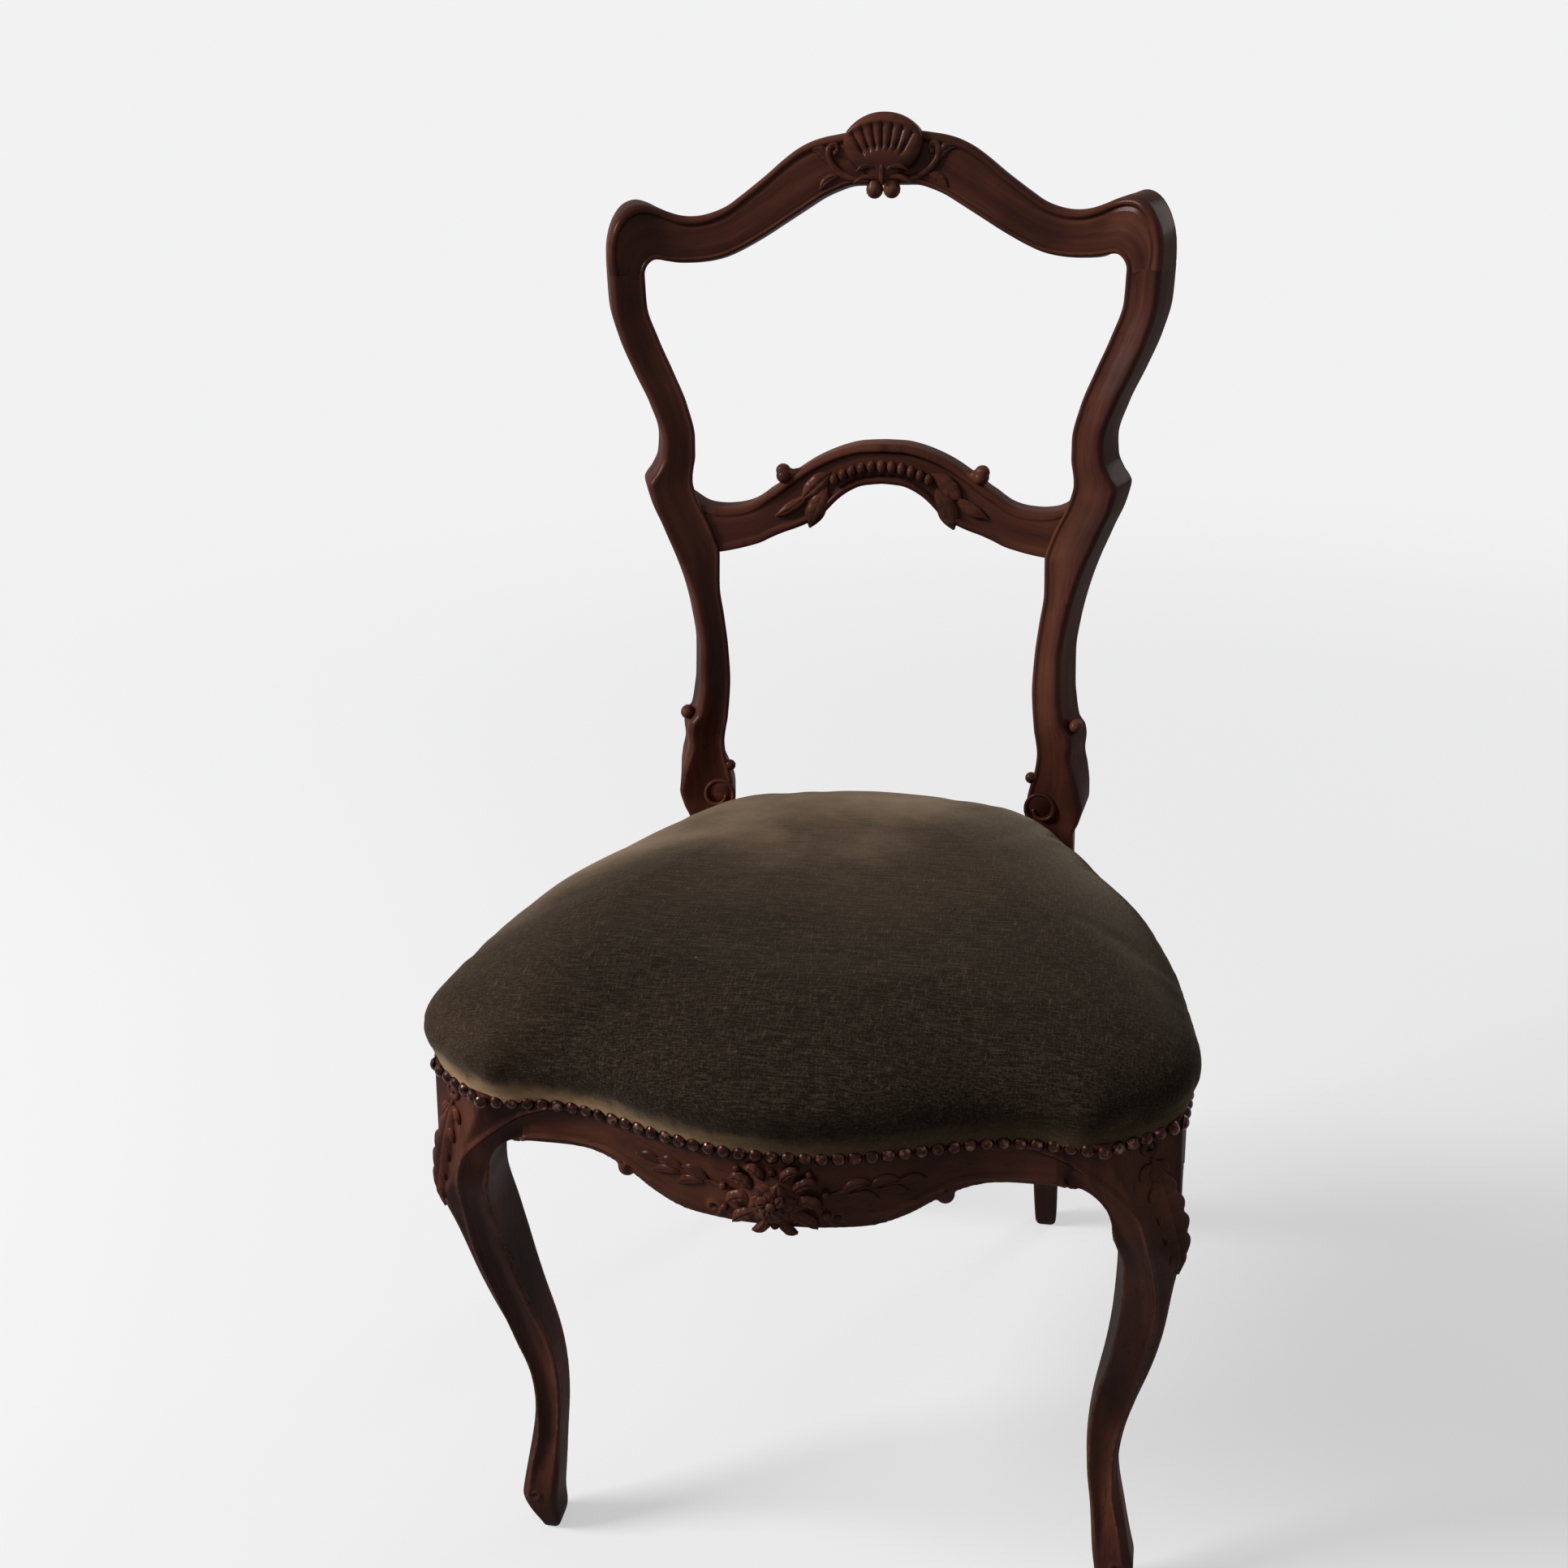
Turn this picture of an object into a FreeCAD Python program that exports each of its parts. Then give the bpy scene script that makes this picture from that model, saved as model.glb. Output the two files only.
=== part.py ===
import FreeCAD, Part
import Sketcher
import math
import os
import re
from FreeCAD import Placement, Rotation, Vector

# A carved side chair in millimetres: +Z up, the sitter faces -Y, X runs to the viewer's right.
# The origin is on the floor, midway between the sides and midway between front and back.

doc = FreeCAD.newDocument("chair")
sheet = doc.addObject("Spreadsheet::Sheet", "sizes")

# Driving sizes. Heights are above the floor, and y is measured from the seat's own zero line.
SIZES = [
    ("rail_top", 405, "top edge of the seat rails"),
    ("rail_height", 54, "height of the side and back rails"),
    ("side_rail_thick", 26, "side rail, across"),
    ("side_slant", 1.11, "side rail's width along x for its thickness, behind its bow"),
    ("back_rail_thick", 24, "back rail, across"),
    ("back_rail_setback", 4, "back rail's inner face behind the posts' front"),
    ("front_rail_thick", 22, "front rail at its ends, across"),
    ("front_rail_half", 165, "centre line to the front rail's shoulder"),
    ("seat_front", 238, "zero line to the middle of the front rail"),
    ("bow_radius", 204, "front rail's bow in plan"),
    ("bow_turn", 20, "half angle of the bow, degrees"),
    ("bow_run", 45, "straight run between bow and hollow"),
    ("hollow_radius", 100, "hollow beside the front leg, in plan"),
    ("arch_drop", 34, "rail top to the crown of the apron's arch"),
    ("arch_radius", 31, "round of the arch into the leg"),
    ("arch_start", 128, "centre line to the inner end of the arch's crown"),
    ("lobe_half", 48, "centre line to the apron's lowest point"),
    ("lobe_drop", 21.3, "crown of the arch to the apron's lowest point"),
    ("knee_front_out", 24, "knee ridge, outward of the front rail's shoulder"),
    ("knee_front_y", 208, "knee ridge, forward of the zero line"),
    ("knee_side_out", 70, "outer corner of the front leg, outward of the shoulder"),
    ("knee_side_y", 172, "outer corner of the front leg, forward"),
    ("leg_back_out", 73, "outer side of the front leg at its back face, outward of the shoulder"),
    ("leg_back_y", 142, "back face of the front leg's block, forward"),
    ("leg_inner_out", 17, "knee ridge to the inner corner of the block's back face"),
    ("leg_block_round", 2, "rounding of the front leg's block"),
    ("knee_ridge_sweep", 30, "how far the ridge moves outwards from the block's top to its arches"),
    ("knee_ridge_back", 8, "how far the ridge moves back over the same height"),
    ("side_arch_radius", 20, "round of the leg into the side rail"),
    ("side_bulge_x", 166, "outer face of the side rail where its bow ends"),
    ("side_bulge_y", 82, "behind the zero line, where the side's bow ends"),
    ("side_radius", 545, "bow of the side rail in plan"),
    ("post_front_y", 158, "front face of the back post at the seat"),
    ("post_block_thick", 32, "back post at the seat, front to back"),
    ("post_thick_top", 34, "back post at the crest joint, front to back"),
    ("post_turn", 22, "turn of the post's face towards the middle, degrees"),
    ("back_rake", 0.197, "backward lean of the back, run over rise"),
    ("back_hollow", 19, "how far the middle of the back lies behind the posts"),
    ("back_hollow_half", 180, "half width over which the back is hollow"),
    ("rear_foot_back", 68, "how far the rear foot lies behind the post"),
    ("rear_foot_inset", 5, "how far the rear foot lies inside the post"),
    ("rear_foot_side", 18, "rear foot, across"),
    ("button_radius", 10.5, "button of the scroll at the foot of the back"),
    ("button_proud", 2.5, "button in front of the post's face"),
    ("crest_thick", 25, "crest rail, front to back"),
    ("crest_rise", 95, "crest joint to the top of the rail's middle"),
    ("mid_rise", 77.6, "mid rail's shoulder to the top of its arch"),
    ("shell_half", 27, "carved shell, centre to side"),
    ("shell_rise", 10, "crest rail's top to the top of the shell"),
    ("shell_depth", 9, "shell in front of the rail's face"),
    ("shell_bulge", 8, "rise of the shell's domed face"),
    ("pendant_radius", 7.5, "radius of the two drops under the shell"),
    ("pendant_side", 6.5, "drop's centre from the chair's middle"),
    ("pendant_drop", 39, "crest rail's top down to the drops' centres"),
    ("pendant_back", 1.5, "drops' centres behind the rail's face"),
    ("mid_rail_thick", 21, "mid rail, front to back"),
    ("mid_rail_setback", 2, "mid rail's face behind the back's face"),
    ("edge_round", 5, "rounding of the carved members"),
    ("tenon_thick", 10, "tenons of the seat frame"),
    ("tenon_length", 20, "tenons of the seat frame"),
    ("tenon_shoulder", 8, "rail above and below its tenon"),
    ("tenon_in", 8, "side rail's outer face to the middle of its tenons"),
    ("back_tenon_length", 14, "tenons of the back rail"),
    ("crest_tenon", 12, "crest joint's tenon, each way"),
    ("mid_tenon_length", 14, "mid rail's tenons"),
    ("mid_tenon_height", 18, "mid rail's tenons"),
    ("mid_tenon_thick", 8, "mid rail's tenons"),
    ("glue_gap", 0.15, "clearance of a tenon in its mortise, each side"),
    ("block_height", 30, "corner blocks"),
    ("block_drop", 12, "rail top to the top of a corner block"),
    ("block_front", 25, "front corner block past the leg, along each rail"),
    ("block_back", 34, "back corner block past the post, along each rail"),
    ("strap_width", 48, "webbing"),
    ("strap_thick", 1.2, "webbing"),
    ("strap_pitch_x", 66, "spacing of the straps that run front to back"),
    ("strap_pitch_y", 78, "spacing of the straps that run side to side"),
    ("strap_middle_y", 18, "middle side to side strap, forward of the zero line"),
    ("strap_turn_up", 20, "strap end on the inner face of the front rail"),
    ("wire_radius", 1.8, "spring wire"),
    ("spring_end_radius", 33, "end coil of a spring"),
    ("spring_waist_radius", 25, "middle coil of a spring"),
    ("spring_turns", 5, "turns of a spring"),
    ("canvas_thick", 1, "spring canvas"),
    ("canvas_edge", 9, "rail's outer face to the edge of the canvas"),
    ("canvas_rise", 10, "rail top to the flat of the canvas"),
    ("cover_thick", 1.6, "velvet with its lining"),
    ("crown_middle_y", 30, "crown's middle, forward of the zero line"),
    ("crown_height", 66, "rail top to the crown of the seat"),
    ("belly_out", 6, "overhang of the seat's side past its lower edge"),
    ("belly_height", 26, "rail top to the widest line of the seat"),
    ("dust_cover_thick", 0.8, "cloth under the seat"),
    ("nail_drop", 4.5, "rail top to the nails' centre line"),
    ("nail_pitch", 9.8, "spacing of the nails"),
    ("nail_radius", 4.6, "nail head"),
    ("nail_rise", 3.2, "height of the nail's dome"),
    ("nail_lift", 0.5, "nail head off the wood"),
    ("nail_shank_radius", 0.8, "nail shank"),
    ("nail_shank", 9, "length of the shank"),
    ("nail_hole_gap", 0.1, "clearance round the shank"),
    ("tack_radius", 3.2, "head of a webbing tack"),
    ("tack_head", 0.9, "thickness of a tack's head"),
    ("tack_shank_radius", 0.7, "shank of a tack"),
    ("tack_shank", 9, "length of a tack's shank, with the strap"),
    ("strap_inset", 6, "end of the webbing inside the rail's outer face"),
    ("soft_gap", 0.3, "clearance of soft layers and nail heads"),
    ("flower_half", 20, "carved flower on the front rail, centre to edge"),
    ("flower_depth", 8, "carved flower in front of the rail's face"),
]

# Stations of the back post above the rail top: rise from the station below, inner edge, overall width.
POST = [
    ("seat", 0, 118, 32),
    ("hook", 27, 114, 43),
    ("volute", 26, 116, 45),
    ("hip", 24, 119.5, 38),
    ("shin", 24, 116.4, 36.3),
    ("slim", 46, 115.6, 32.8),
    ("calf", 44, 120.6, 35.6),
    ("arm_low", 30, 121.5, 43.6),
    ("arm_high", 26, 132.5, 44.5),
    ("notch", 27, 141, 43.5),
    ("nape", 13, 139.4, 37),
    ("neck", 18, 138.7, 35.6),
    ("rise_low", 36, 148.7, 37.9),
    ("rise_high", 36, 164.2, 38.2),
    ("shoulder", 28, 172.2, 36.8),
    ("joint", 16, 173, 37),
]

# The crest rail from its middle to the post: share of the way across and of the rise for the lower edge, the
# same for the upper edge, and the twist of the section in degrees. Past 1 the way across is a share of the post.
CREST = [
    (0, 0.61, 0, 1, 0),
    (0.13, 0.61, 0.135, 0.993, 0),
    (0.23, 0.553, 0.26, 0.958, 0),
    (0.335, 0.453, 0.387, 0.853, 0),
    (0.44, 0.337, 0.515, 0.684, 0),
    (0.555, 0.21, 0.63, 0.537, 0),
    (0.67, 0.124, 0.711, 0.456, 0),
    (0.775, 0.095, 0.786, 0.434, 0),
    (0.861, 0.097, 0.873, 0.456, 0),
    (0.925, 0.114, 0.977, 0.532, 3),
    (0.96, 0.103, 1.35, 0.568, 8),
    (0.983, 0.063, 1.77, 0.42, 14),
    (0.997, 0.026, 1.96, 0.21, 19),
]

# The mid rail from its middle to the post: the same four shares, of its own span and rise.
MID = [
    (0, 0.629, 0, 1),
    (0.132, 0.606, 0.148, 0.988),
    (0.247, 0.515, 0.296, 0.928),
    (0.346, 0.38, 0.444, 0.825),
    (0.461, 0.264, 0.584, 0.683),
    (0.609, 0.174, 0.708, 0.554),
    (0.757, 0.077, 0.807, 0.457),
    (0.881, 0.032, 0.905, 0.421),
    (0.971, 0.01, 1.004, 0.416),
    (1.04, 0, 1.12, 0.49),
    (1.11, -0.005, 1.25, 0.62),
]

# Stations of the front leg below its block: share of the leg's height, centre out from the front rail's shoulder,
# centre forward, side, ridge cut.
LEG = [
    ("knee_low", 0.94, 52.5, 175.5, 38.5, 9),
    ("calf_top", 0.88, 53, 167.5, 37.5, 4),
    ("calf", 0.79, 51, 158, 35.2, 3),
    ("calf_low", 0.675, 48, 149.3, 33, 3),
    ("shin_high", 0.56, 41.7, 143.4, 29.6, 3),
    ("shin", 0.44, 33, 141, 25.2, 3),
    ("ankle", 0.325, 29, 145.5, 22, 3.5),
    ("ankle_low", 0.26, 31, 148, 22.3, 4),
    ("instep", 0.175, 35, 153.5, 25, 4),
    ("toe", 0.1, 39, 157, 27.2, 4.5),
    ("toe_low", 0.04, 40, 156, 26, 5),
    ("sole", 0, 40, 155, 20, 5),
]

for row, (name, value, note) in enumerate(SIZES, start=1):
    sheet.set("A%d" % row, note)
    sheet.set("B%d" % row, str(value))
    sheet.setAlias("B%d" % row, name)
row = len(SIZES)
for station, rise, inner, width in POST:
    for part, value in (("rise", rise), ("inner", inner), ("width", width)):
        row += 1
        sheet.set("A%d" % row, "back post, " + station.replace("_", " ") + ", " + part)
        sheet.set("B%d" % row, str(value))
        sheet.setAlias("B%d" % row, "post_%s_%s" % (station, part))
for station, share, out, forward, side, cut in LEG:
    for part, value in (("share", share), ("out", out), ("forward", forward), ("side", side), ("cut", cut)):
        row += 1
        sheet.set("A%d" % row, "front leg, " + station.replace("_", " ") + ", " + part)
        sheet.set("B%d" % row, str(value))
        sheet.setAlias("B%d" % row, "leg_%s_%s" % (station, part))
doc.recompute()
ALIASES = set(name for name, _, _ in SIZES)
ALIASES.update("post_%s_%s" % (station[0], part) for station in POST for part in ("rise", "inner", "width"))


def size(name):
    return float(sheet.get(name))


def post_level(station):
    # Height of one of the post's stations, the sum of the rises up to it.
    total = size("rail_top")
    for name, _, _, _ in POST:
        total += size("post_%s_rise" % name)
        if name == station:
            return total
    raise ValueError(station)


def leg_x(name):
    # The front leg's sizes across the chair are measured out from the front rail's shoulder.
    return size("front_rail_half") + size(name)


def rail_back():
    return size("post_front_y") + size("back_rail_setback") + size("back_rail_thick")


def side_places(start, end, shares):
    # Places along the seat's side, as shares of the way from one y to another.
    return [start + (end - start) * share for share in shares]


def rail_bottom():
    return size("rail_top") - size("rail_height")


def front_face(x):
    # The front rail's outer face in plan: a bow, a straight run and a hollow that ends square to the leg.
    turn = math.radians(size("bow_turn"))
    bow = size("bow_radius")
    hollow = size("hollow_radius")
    x = abs(x)
    y = -size("seat_front")
    bow_end = bow * math.sin(turn)
    if x <= bow_end:
        return y + bow - math.sqrt(bow * bow - x * x)
    y += bow * (1 - math.cos(turn))
    run_end = bow_end + size("bow_run") * math.cos(turn)
    if x <= run_end:
        return y + (x - bow_end) * math.tan(turn)
    y += size("bow_run") * math.sin(turn)
    hollow_end = run_end + hollow * math.sin(turn)
    if x <= hollow_end:
        left = hollow_end - x
        return y + hollow * (1 - math.cos(turn)) - (hollow - math.sqrt(hollow * hollow - left * left))
    return y + hollow * (1 - math.cos(turn))


def back_face(x, z):
    # The back's front face: raked, and hollow towards the middle.
    rise = z - size("rail_top")
    hollow = size("back_hollow") * (1 - (x / size("back_hollow_half")) ** 2)
    seat_hollow = size("back_hollow") * (1 - (size("post_seat_inner") / size("back_hollow_half")) ** 2)
    return size("post_front_y") + size("back_rake") * rise + hollow - seat_hollow


def rounded(corners, radius):
    # A closed plane wire through the corners, each one rounded as far as its two sides allow.
    count = len(corners)
    starts = []
    middles = []
    ends = []
    for i, corner in enumerate(corners):
        before = corners[i - 1] - corner
        after = corners[(i + 1) % count] - corner
        half = before.getAngle(after) / 2
        reach = min(radius / math.tan(half), 0.42 * before.Length, 0.42 * after.Length)
        fitted = reach * math.tan(half)
        a = Vector(before).normalize()
        b = Vector(after).normalize()
        bisector = (a + b).normalize()
        starts.append(corner + a * reach)
        ends.append(corner + b * reach)
        middles.append(corner + bisector * (fitted / math.sin(half) - fitted))
    edges = []
    for i in range(count):
        edges.append(Part.Arc(starts[i], middles[i], ends[i]).toShape())
        edges.append(Part.makeLine(ends[i], starts[(i + 1) % count]))
    return Part.Wire(edges)


def loft(wires, ruled=False):
    return Part.makeLoft(wires, True, ruled, False, 3)


def feature(label, shape):
    item = doc.addObject("Part::Feature", label)
    item.Label = label
    item.Shape = shape
    return item


def block(low, high):
    return Part.makeBox(high.x - low.x, high.y - low.y, high.z - low.z, low)


def largest(shape):
    return max(shape.Solids, key=lambda solid: solid.Volume)


def mirrored(label, source):
    item = doc.addObject("Part::Mirroring", label)
    item.Label = label
    item.Source = source
    item.Base = Vector(0, 0, 0)
    item.Normal = Vector(1, 0, 0)
    return item


def origin_plane(body, role):
    return [item for item in body.Origin.OriginFeatures if item.Role == role][0]


def bound(text):
    # Puts the sheet's name before each size in an expression.
    return re.sub(r"[a-z_]+", lambda word: ("sizes." if word.group() in ALIASES else "") + word.group(), text)


def worth(text):
    return float(sheet.evalExpression(bound(text)))


def outline(body, name, role, corners, height="0"):
    # A closed sketch on one of the body's origin planes. Each corner is (x, y, bend): x and y are expressions,
    # and bend is the radius of the edge that leaves the corner, or 0. Its last word says which way it bulges.
    sketch = body.newObject("Sketcher::SketchObject", name)
    sketch.AttachmentSupport = [(origin_plane(body, role), "")]
    sketch.MapMode = "FlatFace"
    sketch.AttachmentOffset = Placement(Vector(0, 0, worth(height)), Rotation())
    sketch.setExpression("AttachmentOffset.Base.z", bound(height))
    points = [Vector(worth(x), worth(y), 0) for x, y, _ in corners]
    count = len(corners)
    first = []
    for i, (_, _, bend) in enumerate(corners):
        start = points[i]
        end = points[(i + 1) % count]
        if not bend:
            sketch.addGeometry(Part.LineSegment(start, end), False)
            first.append(1)
            continue
        radius, way = bend
        chord = end - start
        side = Vector(chord.y, -chord.x, 0).normalize() * way
        radius = worth(radius)
        centre = (start + end) * 0.5 - side * math.sqrt(radius * radius - chord.Length ** 2 / 4)
        low, high = (start, end) if way > 0 else (end, start)
        angles = [math.atan2(p.y - centre.y, p.x - centre.x) for p in (low, high)]
        sketch.addGeometry(Part.ArcOfCircle(Part.Circle(centre, Vector(0, 0, 1), radius), *angles), False)
        first.append(1 if way > 0 else 2)
    for i, (x, y, bend) in enumerate(corners):
        follower = (i + 1) % count
        sketch.addConstraint(Sketcher.Constraint("Coincident", i, 3 - first[i], follower, first[follower]))
        tie(sketch, Sketcher.Constraint("DistanceX", -1, 1, i, first[i], points[i].x), x)
        tie(sketch, Sketcher.Constraint("DistanceY", -1, 1, i, first[i], points[i].y), y)
        if bend:
            tie(sketch, Sketcher.Constraint("Radius", i, worth(bend[0])), bend[0])
    return sketch


def tie(sketch, constraint, text):
    sketch.setExpression("Constraints[%d]" % sketch.addConstraint(constraint), bound(text))


def new_body(label):
    body = doc.addObject("PartDesign::Body", label)
    body.Label = label
    return body


def pad(body, sketch, length):
    item = body.newObject("PartDesign::Pad", sketch.Name + "_pad")
    item.Profile = sketch
    item.setExpression("Length", bound(length))
    sketch.Visibility = False
    return item


def pocket(body, sketch, reversed_way=False):
    item = body.newObject("PartDesign::Pocket", sketch.Name + "_cut")
    item.Profile = sketch
    item.Type = 1
    item.Reversed = reversed_way
    return item


def rectangle(x0, x1, y0, y1):
    return [(x0, y0, 0), (x1, y0, 0), (x1, y1, 0), (x0, y1, 0)]


# Wooden seat frame

def back_rail():
    body = new_body("back_rail_body")
    low = "post_front_y + back_rail_setback"
    rail = outline(body, "back_rail_plan", "XY_Plane",
                   rectangle("-post_seat_inner", "post_seat_inner", low, low + " + back_rail_thick"),
                   "rail_top - rail_height + strap_thick")
    pad(body, rail, "rail_height - strap_thick")
    middle = low + " + back_rail_thick / 2"
    bar = outline(body, "back_rail_tenons", "XY_Plane",
                  rectangle("-post_seat_inner - back_tenon_length", "post_seat_inner + back_tenon_length",
                            middle + " - tenon_thick / 2", middle + " + tenon_thick / 2"),
                  "rail_top - rail_height + tenon_shoulder")
    pad(body, bar, "rail_height - 2 * tenon_shoulder")
    return body


def side_rail():
    body = new_body("side_rail_body")
    back_x = "post_seat_inner + post_seat_width - 2"
    slanted = "side_rail_thick * side_slant"
    plan = outline(body, "side_rail_plan", "XY_Plane", [
        ("front_rail_half + leg_back_out", "-leg_back_y", ("side_radius", 1)),
        ("side_bulge_x", "side_bulge_y", 0),
        (back_x, "post_front_y", 0),
        (back_x + " - side_rail_thick", "post_front_y", 0),
        ("side_bulge_x - " + slanted, "side_bulge_y - 4", ("side_radius - side_rail_thick", -1)),
        ("front_rail_half + leg_back_out - side_rail_thick", "-leg_back_y", 0),
    ], "rail_top - rail_height")
    pad(body, plan, "rail_height")
    for name, x, y0, y1 in (
        ("front", "front_rail_half + leg_back_out - tenon_in", "-leg_back_y - tenon_length", "10 - leg_back_y"),
        ("rear", back_x + " - tenon_in", "post_front_y - 10", "post_front_y + tenon_length"),
    ):
        tenon = outline(body, "side_rail_tenon_" + name, "XY_Plane",
                        rectangle(x + " - tenon_thick / 2", x + " + tenon_thick / 2", y0, y1),
                        "rail_top - rail_height + tenon_shoulder")
        pad(body, tenon, "rail_height - 2 * tenon_shoulder")
    return body


def front_rail():
    body = new_body("front_rail_body")
    bow_x = "bow_radius * sin(bow_turn)"
    bow_y = "-seat_front + bow_radius * (1 - cos(bow_turn))"
    run_x = bow_x + " + bow_run * cos(bow_turn)"
    run_y = bow_y + " + bow_run * sin(bow_turn)"
    end_x = run_x + " + hollow_radius * sin(bow_turn)"
    end_y = run_y + " + hollow_radius * (1 - cos(bow_turn))"
    half = "front_rail_half"
    plan = outline(body, "front_rail_plan", "XY_Plane", [
        ("-" + half, end_y, 0),
        ("-(" + end_x + ")", end_y, ("hollow_radius", -1)),
        ("-(" + run_x + ")", run_y, 0),
        ("-" + bow_x, bow_y, ("bow_radius", 1)),
        (bow_x, bow_y, 0),
        (run_x, run_y, ("hollow_radius", -1)),
        (end_x, end_y, 0),
        (half, end_y, 0),
        (half, end_y + " + front_rail_thick", 0),
        ("-" + half, end_y + " + front_rail_thick", 0),
    ], "rail_top - arch_drop - lobe_drop")
    pad(body, plan, "arch_drop + lobe_drop")
    middle = end_y + " + front_rail_thick / 2"
    for name, sign in (("right", ""), ("left", "-")):
        tenon = outline(body, "front_rail_tenon_" + name, "XY_Plane",
                        rectangle(sign + "(front_rail_half - 10)", sign + "(front_rail_half + tenon_length)",
                                  middle + " - tenon_thick / 2", middle + " + tenon_thick / 2"),
                        "rail_top - arch_drop + tenon_shoulder / 2")
        pad(body, tenon, "arch_drop - tenon_shoulder")
        low = "rail_top - arch_drop - lobe_drop"
        high = "rail_top - arch_drop"
        half_way = "(lobe_half + arch_start) / 2"
        round_radius = "((arch_start - lobe_half) ^ 2 / 4 + lobe_drop ^ 2 / 4) / lobe_drop"
        way = 1 if sign else -1
        arch = outline(body, "front_rail_arch_" + name, "XZ_Plane", [
            (sign + "lobe_half", low, (round_radius, -way)),
            (sign + half_way, low + " + lobe_drop / 2", (round_radius, way)),
            (sign + "arch_start", high, 0),
            (sign + "(front_rail_half + 5)", high, 0),
            (sign + "(front_rail_half + 5)", low + " - 5", 0),
            (sign + "lobe_half", low + " - 5", 0),
        ])
        pocket(body, arch).Midplane = True
    return body


def tenon_box(x, y0, y1, z0, z1, thick, gap):
    # A tenon that runs along y, or its mortise when the gap is not zero.
    return block(Vector(x - thick / 2 - gap, y0, z0 - gap), Vector(x + thick / 2 + gap, y1, z1 + gap))


def bow_x(y, start, end, radius):
    # Where a bow of the given radius through two points lies at y.
    chord = math.hypot(end[0] - start[0], end[1] - start[1])
    reach = math.sqrt(radius * radius - chord * chord / 4)
    centre_x = (start[0] + end[0]) / 2 - reach * (end[1] - start[1]) / chord
    centre_y = (start[1] + end[1]) / 2 + reach * (end[0] - start[0]) / chord
    return centre_x + math.sqrt(radius * radius - (y - centre_y) ** 2)


def side_face(y):
    # The side rail's outer face in plan: a bow from the leg, then straight to the post.
    x0, y0 = leg_x("leg_back_out"), -size("leg_back_y")
    x1, y1 = size("side_bulge_x"), size("side_bulge_y")
    if y > y1:
        back_x = size("post_seat_inner") + size("post_seat_width") - 2
        return x1 + (back_x - x1) * (y - y1) / (size("post_front_y") - y1)
    return bow_x(y, (x0, y0), (x1, y1), size("side_radius"))


def tenon_levels():
    return rail_bottom() + size("tenon_shoulder"), size("rail_top") - size("tenon_shoulder")


# Front leg

def leg_corners(share):
    # The leg's block in plan, from its top, share 0, to the springing of its arches, share 1.
    flat = front_face(size("front_rail_half"))
    inner = size("front_rail_half")
    top = [
        (inner, flat),
        (leg_x("knee_front_out"), -size("knee_front_y")),
        (leg_x("knee_side_out"), -size("knee_side_y")),
        (leg_x("leg_back_out"), -size("leg_back_y")),
        (leg_x("knee_front_out") + size("leg_inner_out"), -size("leg_back_y")),
        (inner, flat + size("front_rail_thick")),
    ]
    ridge_sweep = (size("knee_ridge_sweep"), size("knee_ridge_back"))
    sweep = [(0, 6), ridge_sweep, (1.5, -10), (0, 0), (0, 0), (0, 0)]
    return [(x + share * dx, y + share * dy) for (x, y), (dx, dy) in zip(top, sweep)]


def springing():
    return size("rail_top") - size("arch_drop") - size("arch_radius")


def front_leg():
    top = size("rail_top")
    low = springing()
    wires = []
    for share, z in ((0, top), (1, low)):
        wires.append(rounded([Vector(x, y, z) for x, y in leg_corners(share)], size("leg_block_round")))
    body = loft(wires, True)
    inner = size("front_rail_half")
    back = -size("leg_back_y")
    arch = Part.makeCylinder(size("arch_radius"), 300, Vector(inner, -300, low), Vector(0, 1, 0))
    side_arch = Part.makeCylinder(size("side_arch_radius"), 300, Vector(0, back, low), Vector(1, 0, 0))
    body = body.cut([arch, side_arch])
    front, ridge, side, rear, _, _ = leg_corners(1)
    inner_x = inner + size("arch_radius")
    rear_y = back - size("side_arch_radius")
    front_y = front[1] + (ridge[1] - front[1]) * (inner_x - inner) / (ridge[0] - inner)
    rear_x = side[0] + (rear[0] - side[0]) * (rear_y - side[1]) / (rear[1] - side[1])
    first = [(inner_x, front_y), ridge, side, (rear_x, rear_y), (inner_x, rear_y)]
    wires = [rounded([Vector(x, y, low) for x, y in first], size("leg_block_round"))]
    for station, _, _, _, _, _ in LEG:
        x = leg_x("leg_%s_out" % station)
        y = -size("leg_%s_forward" % station)
        half = size("leg_%s_side" % station) / 2
        cut = size("leg_%s_cut" % station)
        corners = [(x - half, y - half), (x + half - cut, y - half), (x + half, y - half + cut),
                   (x + half, y + half), (x - half, y + half)]
        z = low * size("leg_%s_share" % station)
        wires.append(rounded([Vector(a, b, z) for a, b in corners], size("edge_round") * 0.8))
    leg = body.fuse(loft(wires)).removeSplitter()
    low_tenon, high_tenon = tenon_levels()
    gap = size("glue_gap")
    side_mortise = tenon_box(leg_x("leg_back_out") - size("tenon_in"), back - size("tenon_length") - gap, back + 1,
                             low_tenon, high_tenon, size("tenon_thick"), gap)
    middle = front_face(inner) + size("front_rail_thick") / 2
    half = size("tenon_thick") / 2 + gap
    arch_top = top - size("arch_drop")
    front_mortise = block(
        Vector(inner - 1, middle - half, arch_top + size("tenon_shoulder") / 2 - gap),
        Vector(inner + size("tenon_length") + gap, middle + half, top - size("tenon_shoulder") / 2 + gap))
    return leg.cut([side_mortise, front_mortise])


# Back posts, crest rail and mid rail

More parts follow.
